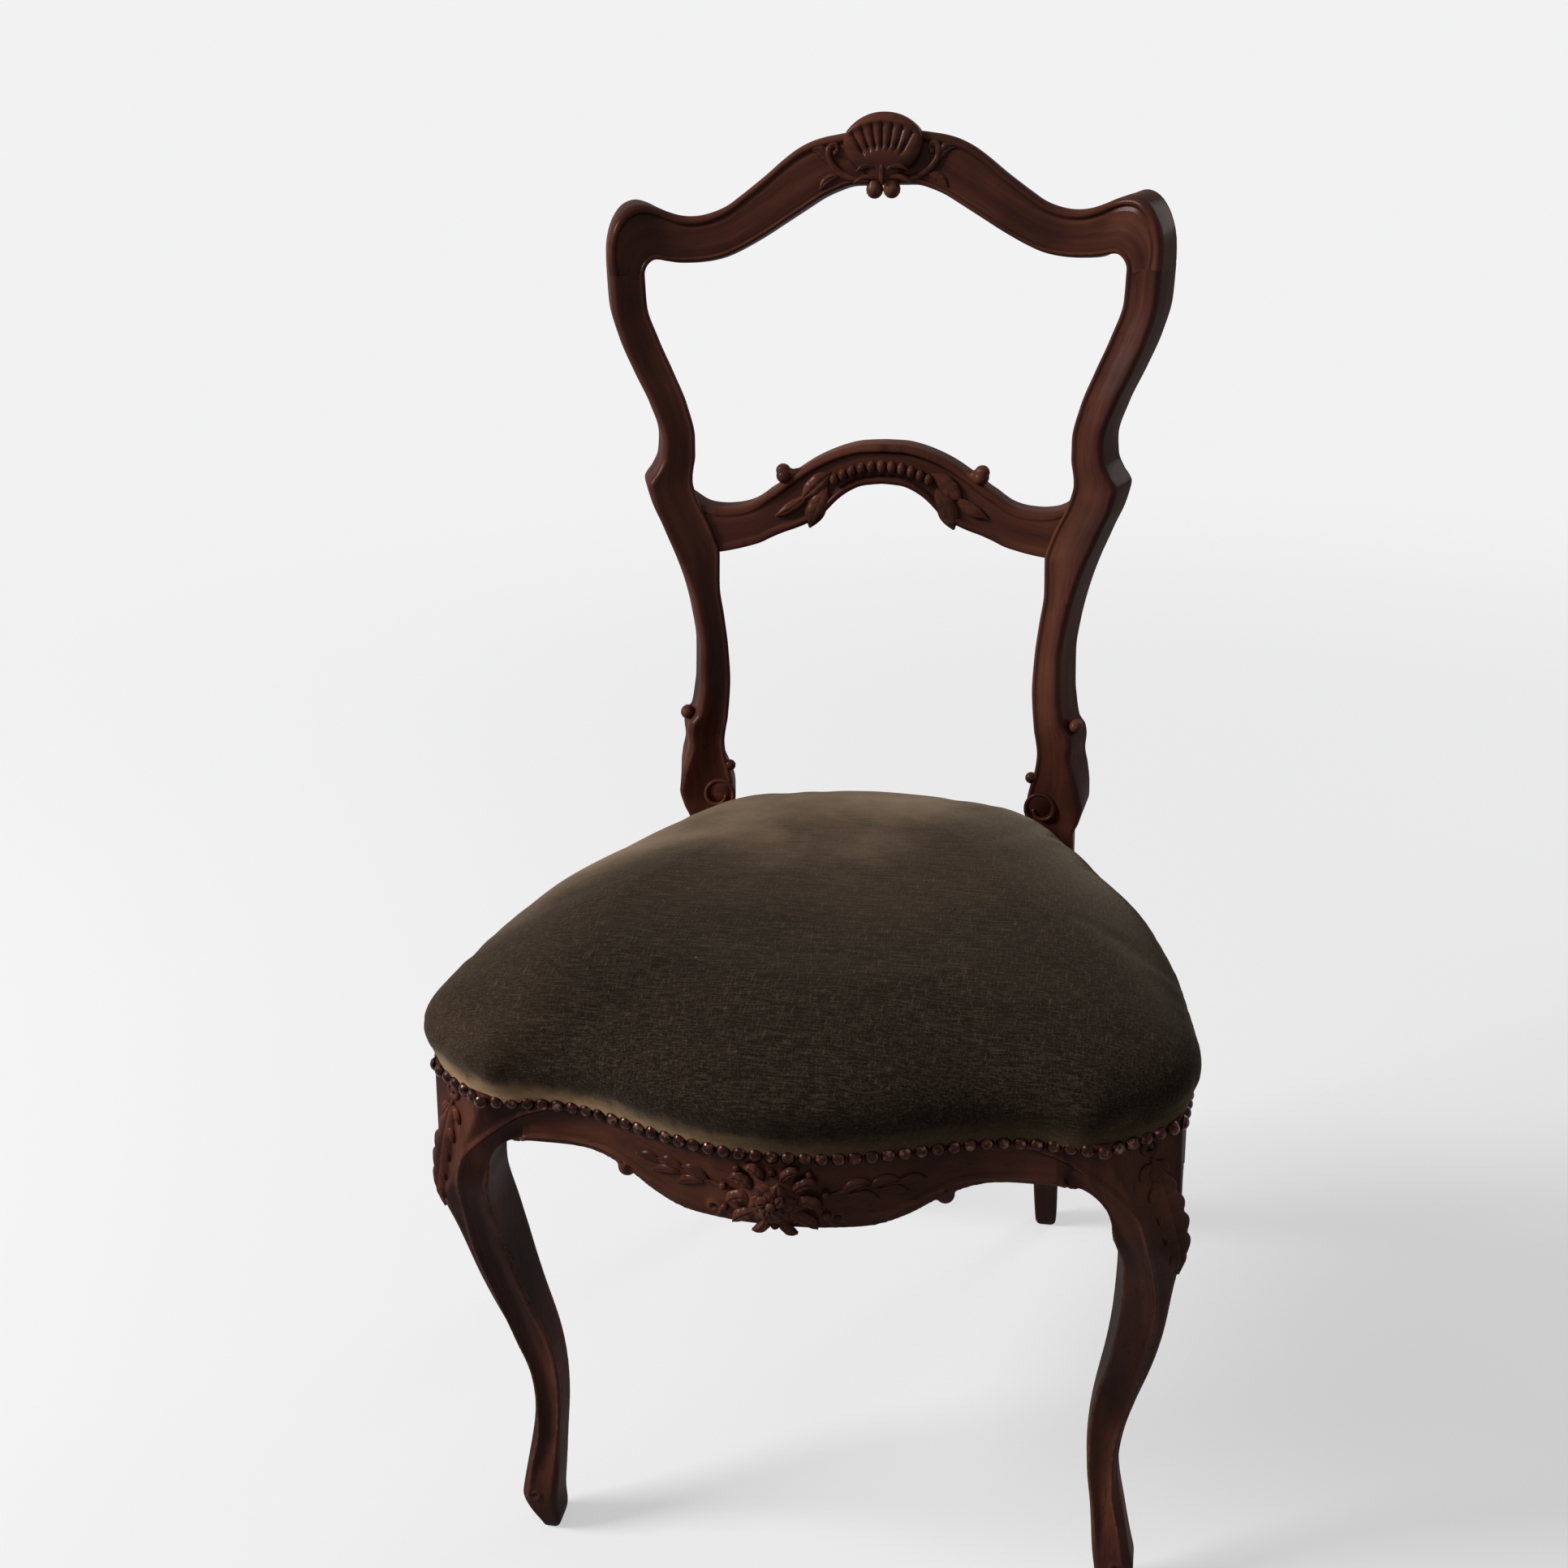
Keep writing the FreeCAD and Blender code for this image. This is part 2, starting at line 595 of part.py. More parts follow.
def post_section(station):
    z = post_level(station)
    inner = size("post_%s_inner" % station)
    width = size("post_%s_width" % station)
    turns = {"seat": 0, "hook": 0.35, "volute": 0.75}
    turn = math.radians(size("post_turn") * turns.get(station, 1))
    thick = size("post_thick_top")
    if station == "seat":
        thick = size("post_block_thick")
    face = (width - thick * math.sin(turn)) / math.cos(turn)
    start = Vector(inner, back_face(inner, z), z)
    across = Vector(math.cos(turn), -math.sin(turn), 0)
    back = Vector(math.sin(turn), math.cos(turn), 0)
    return [start, start + across * face, start + across * face + back * thick, start + back * thick]


def rear_leg_section(share):
    # The rear leg sweeps back and tapers from the post's block, share 0, to the floor, share 1.
    top = springing()
    half = size("post_seat_width") / 2
    centre_x = size("post_seat_inner") + half - size("rear_foot_inset") * share
    centre_y = size("post_front_y") + size("post_block_thick") / 2 + size("rear_foot_back") * share ** 1.4
    foot = size("rear_foot_side") / 2
    x = half + (foot - half) * share ** 0.8
    y = size("post_block_thick") / 2 + (foot - size("post_block_thick") / 2) * share ** 0.8
    z = top * (1 - share)
    return [Vector(centre_x - x, centre_y - y, z), Vector(centre_x + x, centre_y - y, z),
            Vector(centre_x + x, centre_y + y, z), Vector(centre_x - x, centre_y + y, z)]


def crest_tenon(gap):
    section = post_section("joint")
    middle = (section[0] + section[2]) * 0.5
    side = size("crest_tenon") + 2 * gap
    box = Part.makeBox(side, side, size("crest_tenon") + 1 + gap, Vector(-side / 2, -side / 2, -1))
    box.rotate(Vector(0, 0, 0), Vector(0, 0, 1), -size("post_turn"))
    box.translate(middle)
    return box


def mid_tenon(gap):
    z = post_level("arm_low") + 0.24 * size("mid_rise")
    inner = size("post_arm_low_inner")
    y = back_face(inner, z) + size("mid_rail_setback") + size("mid_rail_thick") / 2
    half = size("mid_tenon_thick") / 2 + gap
    high = size("mid_tenon_height") / 2 + gap
    reach = inner + size("post_thick_top") * 0.3 + size("mid_tenon_length")
    return block(Vector(inner - 4, y - half, z - high), Vector(reach + gap, y + half, z + high))


def volute_button():
    # The button of the scroll at the foot of the back, square to the post's face.
    volute = post_level("volute")
    radius = size("button_radius")
    x = size("post_volute_inner") + radius - 1.5
    z = volute - radius
    centre = Vector(x, back_face(x, z) - size("button_proud"), z)
    return Part.makeCylinder(radius, size("button_proud") + 12, centre, Vector(0, 1, -size("back_rake")))


def post_blank():
    radius = size("edge_round")
    wires = []
    for station, _, _, _ in POST:
        wires.append(rounded(post_section(station), 2 if station == "seat" else radius))
    upper = loft(wires)
    seat = post_section("seat")
    foot = springing()
    middle = loft([rounded(seat, 2), rounded([Vector(p.x, p.y, foot) for p in seat], 2)], True)
    wires = [rounded(rear_leg_section(share), 2 + 2 * share) for share in (0, 0.15, 0.3, 0.45, 0.6, 0.75, 0.9, 1)]
    lower = loft(wires)
    return upper.fuse([middle, lower, volute_button()])


def back_post(blank):
    gap = size("glue_gap")
    low, high = tenon_levels()
    front = size("post_front_y")
    back_x = size("post_seat_inner") + size("post_seat_width") - 2
    side_mortise = tenon_box(back_x - size("tenon_in"), front - 1, front + size("tenon_length") + gap,
                             low, high, size("tenon_thick"), gap)
    middle = rail_back() - size("back_rail_thick") / 2
    half = size("tenon_thick") / 2 + gap
    inner = size("post_seat_inner")
    back_mortise = block(Vector(inner - 1, middle - half, low - gap),
                         Vector(inner + size("back_tenon_length") + gap, middle + half, high + gap))
    return blank.fuse(crest_tenon(0)).cut([side_mortise, back_mortise, mid_tenon(gap)])


def bar_section(low, high, thick, setback, twist, lean):
    # A rail's section between two points of the back's face, twisted towards the middle.
    start = Vector(low[0], back_face(low[0], low[1]) + setback, low[1])
    rake = size("back_rake") * lean
    along = Vector(high[0] - low[0], size("back_rake") * (high[1] - low[1]), high[1] - low[1])
    width = along.Length
    along.normalize()
    hollow = 2 * size("back_hollow") * low[0] / size("back_hollow_half") ** 2 * lean
    back = Vector(hollow, 1, -rake).normalize()
    turn = math.radians(twist)
    face = (width - thick * math.sin(turn)) / math.cos(turn)
    across = along * math.cos(turn) - back * math.sin(turn)
    inward = along * math.sin(turn) + back * math.cos(turn)
    return [start, start + across * face, start + across * face + inward * thick, start + inward * thick]


def mirror_section(section):
    return [Vector(-p.x, p.y, p.z) for p in section]


def crest_shell(top):
    # A round disc with a domed face, at the middle of the crest rail.
    half = size("shell_half")
    bulge = size("shell_bulge")
    radius = (half * half + bulge * bulge) / (2 * bulge)
    middle = top + size("shell_rise") - half
    front = back_face(0, middle) - size("shell_depth")
    disc = Part.makeCylinder(half, size("crest_thick"), Vector(0, front, middle), Vector(0, 1, 0))
    return disc.common(Part.makeSphere(radius, Vector(0, front + radius, middle)))


def crest_pendants(top):
    # Two round drops side by side, under the shell.
    middle = top - size("pendant_drop")
    away = back_face(0, middle) + size("pendant_back")
    side = size("pendant_side")
    return [Part.makeSphere(size("pendant_radius"), Vector(x, away, middle)) for x in (-side, side)]


def crest_rail():
    joint = post_level("joint")
    inner = size("post_joint_inner")
    width = size("post_joint_width")
    rise = size("crest_rise")

    def place(across, up):
        x = inner * min(across, 1) + width * max(across - 1, 0)
        return x, joint + rise * up

    sections = []
    for i, (low_x, low_z, high_x, high_z, twist) in enumerate(CREST):
        near = max(0, i - 8) / 5
        thick = size("crest_thick") + (size("post_thick_top") - size("crest_thick")) * near
        sections.append(bar_section(place(low_x, low_z), place(high_x, high_z), thick, 0, twist, 1 - near))
    end = post_section("joint")
    sections += [end, [p - Vector(0, 0, 8) for p in end]]
    whole = [mirror_section(section) for section in reversed(sections[1:])] + sections
    rail = loft([rounded(section, size("edge_round")) for section in whole])
    reach = 2 * inner
    rail = largest(rail.cut(block(Vector(-reach, 0, joint - rise), Vector(reach, reach, joint))))
    ornaments = [crest_shell(joint + rise)] + crest_pendants(joint + rise)
    mortise = crest_tenon(size("glue_gap"))
    return rail.fuse(ornaments).cut([mortise, mortise.mirror(Vector(0, 0, 0), Vector(1, 0, 0))])


def mid_rail(posts):
    base = post_level("arm_low")
    span = size("post_arm_low_inner")
    rise = size("mid_rise")
    sections = []
    for low_x, low_z, high_x, high_z in MID:
        low = (span * low_x, base + rise * low_z)
        high = (span * high_x, base + rise * high_z)
        sections.append(bar_section(low, high, size("mid_rail_thick"), size("mid_rail_setback"), 0, 1))
    whole = [mirror_section(section) for section in reversed(sections[1:])] + sections
    rail = loft([rounded(section, size("edge_round") * 0.7) for section in whole])
    rail = largest(rail.cut(posts))
    tenon = mid_tenon(0)
    return rail.fuse([tenon, tenon.mirror(Vector(0, 0, 0), Vector(1, 0, 0))])


# Carving on the front rail

def apron_flower():
    # A low dome on the middle of the front rail.
    half = size("flower_half")
    depth = size("flower_depth")
    radius = (half * half + depth * depth) / (2 * depth)
    low = size("rail_top") - size("arch_drop") - size("lobe_drop")
    return Part.makeSphere(radius, Vector(0, front_face(0) - depth + radius, low + half))


def apron_curls():
    x = size("lobe_half") + 0.63 * (size("arch_start") - size("lobe_half"))
    z = size("rail_top") - size("arch_drop") - 0.3 * size("lobe_drop")
    return [Part.makeSphere(6, Vector(side * x, front_face(x) + 4, z)) for side in (-1, 1)]


# Corner blocks

def prism(points, low, high):
    wire = Part.makePolygon([Vector(x, y, low) for x, y in points] + [Vector(points[0][0], points[0][1], low)])
    return Part.Face(wire).extrude(Vector(0, 0, high - low))


def side_inner(y):
    # The side rail's inner face in plan, straight behind the bow.
    x0, y0 = size("side_bulge_x") - size("side_slant") * size("side_rail_thick"), size("side_bulge_y") - 4
    x1, y1 = size("post_seat_inner") + size("post_seat_width") - 2 - size("side_rail_thick"), size("post_front_y")
    if y > y0:
        return x0 + (x1 - x0) * (y - y0) / (y1 - y0)
    return bow_x(y, (leg_x("leg_back_out") - size("side_rail_thick"), -size("leg_back_y")), (x0, y0),
                 size("side_radius") - size("side_rail_thick"))


def front_corner_block():
    # A prism against the front rail, the leg's inner corner and the side rail.
    front = front_face(size("front_rail_half")) + size("front_rail_thick")
    leg_y = -size("leg_back_y")
    end = leg_y + size("block_front")
    points = [
        (size("front_rail_half") - size("block_front"), front), (size("front_rail_half"), front),
        (leg_x("knee_front_out") + size("leg_inner_out"), leg_y), (side_inner(leg_y), leg_y), (side_inner(end), end),
    ]
    high = size("rail_top") - size("block_drop")
    return prism(points, high - size("block_height"), high)


def back_corner_block():
    # A prism against the back rail, the post's inner front corner and the side rail.
    post_x = size("post_seat_inner")
    front = size("post_front_y")
    rail = front + size("back_rail_setback")
    end = front - size("block_back")
    points = [
        (post_x - size("block_back"), rail), (post_x, rail), (post_x, front),
        (side_inner(front), front), (side_inner(end), end),
    ]
    high = size("rail_top") - size("block_drop")
    return prism(points, high - size("block_height"), high)


# Webbing, tacks and springs

def strap_middles():
    xs = [i * size("strap_pitch_x") for i in (-1, 0, 1)]
    ys = [i * size("strap_pitch_y") - size("strap_middle_y") for i in (-1, 0, 1)]
    return xs, ys


def side_straps():
    high = rail_bottom()
    half = size("strap_width") / 2
    straps = []
    for y in strap_middles()[1]:
        reach = side_face(y + half) - size("strap_inset")
        straps.append(block(Vector(-reach, y - half, high - size("strap_thick")), Vector(reach, y + half, high)))
    return straps


def long_straps():
    low = rail_bottom()
    thick = size("strap_thick")
    half = size("strap_width") / 2
    front = front_face(size("front_rail_half")) + size("front_rail_thick")
    back = rail_back() - size("strap_inset")
    straps = []
    for x in strap_middles()[0]:
        flat = block(Vector(x - half, front, low), Vector(x + half, back, low + thick))
        rise = block(Vector(x - half, front, low), Vector(x + half, front + thick, low + size("strap_turn_up")))
        straps.append(flat.fuse(rise).removeSplitter())
    return straps


def tack_places():
    # Where each tack's head lies on a strap, and the way its shank points.
    low = rail_bottom()
    thick = size("strap_thick")
    step = size("strap_width") / 3
    xs, ys = strap_middles()
    front = front_face(size("front_rail_half")) + size("front_rail_thick")
    places = []
    for i in (-1, 0, 1):
        for y in ys:
            for side in (-1, 1):
                x = side_face(y + step * i) - size("side_rail_thick") / 2
                x = min(x, side_face(y + size("strap_width") / 2) - size("strap_inset") - size("tack_radius") - 1)
                places.append((Vector(side * x, y + step * i, low - thick), Vector(0, 0, 1)))
        for x in xs:
            y = rail_back() - size("back_rail_thick") / 2
            places.append((Vector(x + step * i, y, low), Vector(0, 0, 1)))
            z = low + size("strap_turn_up") - size("tack_radius") - 2
            places.append((Vector(x + step * i, front + thick, z), Vector(0, -1, 0)))
    return places


def tack(place, way, gap):
    radius = size("tack_radius")
    shank = Part.makeCylinder(size("tack_shank_radius") + gap, size("tack_shank") + gap, place, way)
    if gap:
        return shank
    head = Part.makeCylinder(radius, size("tack_head"), place, way * -1)
    return head.fuse(shank).removeSplitter()


def biarc(start, start_way, end, end_way):
    # Two arcs that join smoothly and meet the two ends along their tangents.
    gap = end - start
    both = start_way + end_way
    a = 2 * (1 - start_way.dot(end_way))
    b = 2 * gap.dot(both)
    c = -gap.dot(gap)
    reach = (-b + math.sqrt(b * b - 4 * a * c)) / (2 * a)
    first = start + start_way * reach
    second = end - end_way * reach
    middle = (first + second) * 0.5
    arcs = []
    for p, knee, q in ((start, first, middle), (middle, second, end)):
        chord = (p + q) * 0.5
        side = knee - chord
        half = (q - p).Length / 2
        sagitta = half * math.tan(math.atan(side.Length / half) / 2)
        arcs.append(Part.Arc(p, chord + side.normalize() * sagitta, q).toShape())
    return arcs


def spring_point(turn):
    # A waisted coil whose first and last half turns lie flat.
    turns = size("spring_turns")
    low = rail_bottom() + size("strap_thick") + size("soft_gap") + size("wire_radius")
    high = size("rail_top") + size("canvas_rise") - size("soft_gap") - size("wire_radius")
    rise = min(max((turn - 0.5) / (turns - 1), 0), 1)
    waist = math.sin(math.pi * turn / turns)
    radius = size("spring_end_radius") - (size("spring_end_radius") - size("spring_waist_radius")) * waist
    angle = 2 * math.pi * turn
    return Vector(radius * math.cos(angle), radius * math.sin(angle), low + (high - low) * rise)


def spring_way(turn):
    step = 0.02
    return (spring_point(turn + step) - spring_point(turn - step)).normalize()


def spring():
    edges = []
    steps = int(round(4 * size("spring_turns")))
    for i in range(steps):
        a = i / 4
        b = (i + 1) / 4
        edges += biarc(spring_point(a), spring_way(a), spring_point(b), spring_way(b))
    path = Part.Wire(edges)
    ring = Part.Wire([Part.makeCircle(size("wire_radius"), spring_point(0), spring_way(0))])
    return path.makePipeShell([ring], True, False), path


def least_gap(path):
    # The least distance between parts of the coil more than half a turn apart, less the wire.
    count = int(48 * size("spring_turns"))
    points = path.discretize(count)
    near = min((p - q).Length for i, p in enumerate(points) for q in points[i + 24:])
    return near - 2 * size("wire_radius")


# Seat: canvas, stuffing and cover

def inner_corners(margin):
    # The frame's outer faces in plan, drawn in by a margin, with the corners at the legs and posts cut off.
    front = front_face(size("front_rail_half"))
    back = rail_back()
    side_y = size("side_bulge_y")
    middle, rear = side_places(-size("leg_back_y"), side_y, (0.37, 0.68))
    half = [
        (size("front_rail_half") + 15 - margin, front + margin - 1),
        (leg_x("leg_back_out") - 1.6 * margin, -size("leg_back_y") - 4),
        (side_face(middle) - margin, middle),
        (side_face(rear) - margin, rear),
        (size("side_bulge_x") - margin, side_y),
        (size("post_seat_inner") + 26 - margin, size("post_front_y") - 6),
        (size("post_seat_inner") - 5, size("post_front_y") - 6),
        (size("post_seat_inner") - 5, back - margin),
    ]
    return half + [(-x, y) for x, y in reversed(half)]


def scaled(points, factor, centre_y):
    return [(x * factor, centre_y + (y - centre_y) * factor) for x, y in points]


def canvas_solid(grow):
    # A flat rim on the rails and a low flat-topped rise in the middle.
    base = size("rail_top")
    rim = inner_corners(size("canvas_edge") - grow)
    centre_y = -size("strap_middle_y")
    low = base + size("canvas_thick") + grow
    high = base + size("canvas_rise") + size("canvas_thick") + grow
    sheet_form = prism(rim, base, low)
    wires = []
    for z, factor in ((base, 0.86), (high, 0.66)):
        points = [Vector(x, y, z) for x, y in scaled(rim, factor, centre_y)]
        wires.append(Part.makePolygon(points + points[:1]))
    return sheet_form.fuse(loft(wires, True))


def canvas():
    rim = inner_corners(size("canvas_edge"))
    centre_y = -size("strap_middle_y")
    base = size("rail_top")
    wires = []
    for z, factor in ((base - size("canvas_thick"), 0.87), (base + size("canvas_rise"), 0.65)):
        points = [Vector(x, y, z) for x, y in scaled(rim, factor, centre_y)]
        wires.append(Part.makePolygon(points + points[:1]))
    return canvas_solid(0).cut(loft(wires, True))


def seat_edge():
    # Half of the seat's lower edge in plan, from the front's middle to the back's, each point with its way out.
    half = size("front_rail_half")
    post = size("post_seat_inner")
    front = size("post_front_y")
    ridge = Vector(leg_x("knee_front_out"), -size("knee_front_y"), 0)
    outer = Vector(leg_x("knee_side_out"), -size("knee_side_y"), 0)
    back = rail_back()
    points = [(half * share, front_face(half * share)) for share in (0, 0.21, 0.42, 0.61, 0.78, 0.94)]
    points.append((ridge.x - 9, ridge.y + 1.2))
    for share in (0.32, 0.8):
        spot = ridge + (outer - ridge) * share
        points.append((spot.x, spot.y + 0.5))
    points.append((leg_x("leg_back_out") - 1, -size("knee_side_y") + 12))
    for y in side_places(7 - size("leg_back_y"), size("side_bulge_y") - 2, (0, 0.21, 0.42, 0.63, 0.81, 1)):
        points.append((side_face(y), y))
    for x, y in ((32, -33), (10, -6), (-6, 0), (-14, 14)):
        points.append((post + x, front + y))
    points += [(0.5 * post, back - 6), (0, back - 3)]
    return points


def seat_ring(points):
    return points + [(-x, y) for x, y in reversed(points[1:-1])]


def seat_section(out, factor, z):
    # The seat's outline moved out by a distance, then scaled about the seat's middle, as a ring of arcs.
    ring = [Vector(x, y, 0) for x, y in seat_ring(seat_edge())]
    count = len(ring)
    moved = []
    for i, point in enumerate(ring):
        along = ring[(i + 1) % count] - ring[i - 1]
        normal = Vector(along.y, -along.x, 0).normalize()
        share = 1.0
        if point.y > size("side_bulge_y"):
            share = 0.35
        shift = out * share if out > 0 else out
        point = point + normal * shift
        centre = Vector(0, -size("crown_middle_y"), 0)
        point = centre + (point - centre) * factor
        moved.append(Vector(point.x, point.y, z))
    edges = []
    for i in range(0, count, 2):
        edges.append(Part.Arc(moved[i], moved[i + 1], moved[(i + 2) % count]).toShape())
    return Part.Wire(edges)


def seat_levels():
    # Height above the rails, outward move and scale of each section of the crowned seat.
    belly = size("belly_out")
    tall = size("belly_height")
    crown = size("crown_height")
    levels = [(size("soft_gap"), 0, 1), (0.5 * tall, 0.67 * belly, 1), (tall, belly, 1)]
    for share, factor in ((0.3, 0.98), (0.55, 0.92), (0.75, 0.81), (0.89, 0.66), (0.97, 0.47), (1, 0.25)):
        levels.append((tall + (crown - tall) * share, belly, factor))
    return levels


def seat_form(inset, drop=0):
    # The crowned form drawn in by an inset, square to its surface. Its lower edge may drop below the rails.
    levels = seat_levels()
    mean = size("front_rail_half") + 20
    wires = []
    for i, (rise, out, factor) in enumerate(levels):
        below = levels[max(i - 1, 0)]
        above = levels[min(i + 1, len(levels) - 1)]
        run = (above[1] - below[1]) + mean * (above[2] - below[2])
        climb = above[0] - below[0]
        length = math.hypot(run, climb)
        lower = inset * -run / length
        if i == 0:
            lower = 0
        z = size("rail_top") + rise - lower - (drop if i == 0 else 0)
        wires.append(seat_section(out - inset * climb / length, factor, z))
    return loft(wires)


def dust_cover():
    low = rail_bottom() - size("strap_thick") - size("tack_head") - size("soft_gap") - size("dust_cover_thick")
    margin = size("strap_inset")
    front = front_face(size("front_rail_half")) + size("front_rail_thick") + size("soft_gap")
    corner = size("leg_back_y") - 24
    points = [(size("front_rail_half") - 25, front), (leg_x("leg_back_out") - 32, -corner)]
    for y in side_places(-corner, size("side_bulge_y"), (0, 0.34, 0.69, 1)):
        points.append((side_face(y) - margin, y))
    back = rail_back() - margin
    for x, y in ((24, -10), (-6, -6)):
        points.append((size("post_seat_inner") + x, size("post_front_y") + y))
    points.append((size("post_seat_inner") - 6, back))
    points += [(-x, y) for x, y in reversed(points)]
    return prism(points, low, low + size("dust_cover_thick"))


# Nails

def nail_path(z):
    # Half of the frame's outer face at a height, as a fine polyline from the front's middle to the back post.
    half = size("front_rail_half")
    path = [Vector(half * i / 60, front_face(half * i / 60), z) for i in range(61)]
    share = (size("rail_top") - z) / (size("rail_top") - springing())
    for x, y in leg_corners(share)[1:3]:
        path.append(Vector(x, y, z))
    start = -size("leg_back_y")
    end = size("post_front_y") - size("nail_radius") - 2
    path += [Vector(side_face(start + (end - start) * i / 60), start + (end - start) * i / 60, z) for i in range(61)]
    return path


def spots_along(path, lower, pitch):
    # Evenly spaced spots on a polyline with the way out of the face between it and a lower polyline.
    spots = []
    target = 0
    done = 0
    for a, b, c, d in zip(path, path[1:], lower, lower[1:]):
        step = (b - a).Length
        while target <= done + step:
            share = (target - done) / step
            spot = a + (b - a) * share
            down = c + (d - c) * share - spot
            spots.append((spot, down.cross(b - a).normalize()))
            target += pitch
        done += step
    return spots


def nail_places():
    z = size("rail_top") - size("nail_drop")
    pitch = size("nail_pitch")
    places = []
    for spot, out in spots_along(nail_path(z), nail_path(z - size("nail_radius")), pitch):
        places.append((spot, out))
        if spot.x > pitch / 2:
            places.append((Vector(-spot.x, spot.y, z), Vector(-out.x, out.y, out.z)))
    back = rail_back()
    count = int((size("post_seat_inner") - size("nail_radius") - 1) / pitch)
    for i in range(-count, count + 1):
        places.append((Vector(i * pitch, back, z), Vector(0, 1, 0)))
    return places


def nail(place, out):
    radius = size("nail_radius")
    rise = size("nail_rise")
    ball = (radius * radius + rise * rise) / (2 * rise)
    seat = place + out * size("nail_lift")
    dome = Part.makeSphere(ball, seat + out * (rise - ball), out, 0, 90, 360)
    dome = dome.common(Part.makeCylinder(radius, rise + 1, seat, out))
    shank = Part.makeCylinder(size("nail_shank_radius"), size("nail_shank"), seat, out * -1)
    return dome.fuse(shank).removeSplitter()


def nail_hole(place, out):
    return Part.makeCylinder(size("nail_shank_radius") + size("nail_hole_gap"), size("nail_shank") + 1,
                             place + out, out * -1)


# Assembly

def tool(label, shape):
    item = feature(label, shape)
    item.Visibility = False
    return item


def less(label, base, holes):
    item = doc.addObject("Part::Cut", label)
    item.Label = label
    item.Base = base
    item.Tool = holes
    return item


nails = nail_places()
tacks = tack_places()
nail_holes = tool("nail_holes", Part.Compound([nail_hole(*spot) for spot in nails]))
hole_shapes = [nail_hole(*spot) for spot in nails] + [tack(*spot, size("nail_hole_gap")) for spot in tacks]
holes = tool("holes", Part.Compound(hole_shapes))
tack_holes = tool("tack_holes", Part.Compound([tack(*spot, size("nail_hole_gap")) for spot in tacks]))

right_leg = less("right_front_leg", tool("right_front_leg_form", front_leg()), nail_holes)
left_leg = mirrored("left_front_leg", right_leg)
post_form = post_blank()
right_post = feature("right_back_post", back_post(post_form))
left_post = mirrored("left_back_post", right_post)
crest = feature("crest_rail", crest_rail())
post_forms = [post_form, post_form.mirror(Vector(0, 0, 0), Vector(1, 0, 0))]
middle_rail = feature("mid_rail", mid_rail(post_forms))

side_body = side_rail()
back_body = back_rail()
front_body = front_rail()
doc.recompute()
right_side = less("right_seat_rail", side_body, holes)
left_side = mirrored("left_seat_rail", right_side)
back = less("back_seat_rail", back_body, holes)
carved = front_body.Shape.fuse([apron_flower()] + apron_curls())
front = less("front_seat_rail", tool("front_rail_carved", carved), holes)
doc.recompute()

blocks = []
for corner, shape in (("front", front_corner_block()), ("back", back_corner_block())):
    right = feature("%s_right_corner_block" % corner, shape)
    blocks += [right, mirrored("%s_left_corner_block" % corner, right)]

long_webbing = less("webbing_front_to_back", tool("long_straps", Part.Compound(long_straps())), tack_holes)
side_webbing = less("webbing_side_to_side", tool("side_straps", Part.Compound(side_straps())), tack_holes)
webbing_tacks = feature("webbing_tacks", Part.Compound([tack(*spot, 0) for spot in tacks]))

spring_shape, spring_path = spring()
print("spring: least gap to itself %.2f mm" % least_gap(spring_path))
springs = []
xs, ys = strap_middles()
spots = {"middle": (xs[1], ys[1]), "front_left": (xs[0], ys[0]), "front_right": (xs[2], ys[0]),
         "back_left": (xs[0], ys[2]), "back_right": (xs[2], ys[2])}
for name, (x, y) in spots.items():
    coil = feature("seat_spring_" + name, spring_shape)
    coil.Placement = Placement(Vector(x, y, 0), Rotation())
    springs.append(coil)

spring_canvas = feature("spring_canvas", canvas())
thick = size("cover_thick")
cover = feature("velvet_cover", seat_form(0).cut(seat_form(thick, 5)))
filling = seat_form(thick + size("soft_gap")).cut(canvas_solid(size("soft_gap")))
stuffing = feature("seat_stuffing", largest(filling))
dust = feature("dust_cover", dust_cover())
dome_nails = feature("dome_nails", Part.Compound([nail(*spot) for spot in nails]))
doc.recompute()

pieces = [right_leg, left_leg, right_post, left_post, crest, middle_rail, right_side, left_side, back, front]
pieces += blocks + [long_webbing, side_webbing, webbing_tacks] + springs
pieces += [spring_canvas, cover, stuffing, dust, dome_nails]

failed = [item.Label for item in doc.Objects if "Invalid" in item.State or "Error" in item.State]
for piece in pieces:
    if piece.Shape.isNull() or not piece.Shape.isValid() or not piece.Shape.Solids:
        failed.append(piece.Label)
if failed:
    raise RuntimeError("failed: " + ", ".join(failed))

# The origin moves to the floor midway between front and back.
boxes = [piece.Shape.optimalBoundingBox(False) for piece in (front, crest)]
middle_y = (min(box.YMin for box in boxes) + max(box.YMax for box in boxes)) / 2
print("zero line stands at y = %.3f" % -middle_y)
for piece in pieces:
    place = piece.Placement
    place.Base = place.Base - Vector(0, middle_y, 0)
    piece.Placement = place

os.makedirs("parts", exist_ok=True)
for piece in pieces:
    piece.Shape.exportStep("parts/%s.step" % piece.Label)
    print("%-26s %3d solids %9.0f mm3" % (piece.Label, len(piece.Shape.Solids), piece.Shape.Volume))
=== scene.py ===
import bpy
import bmesh
import math
import numpy as np
from mathutils import Matrix, Vector
from mathutils.bvhtree import BVHTree


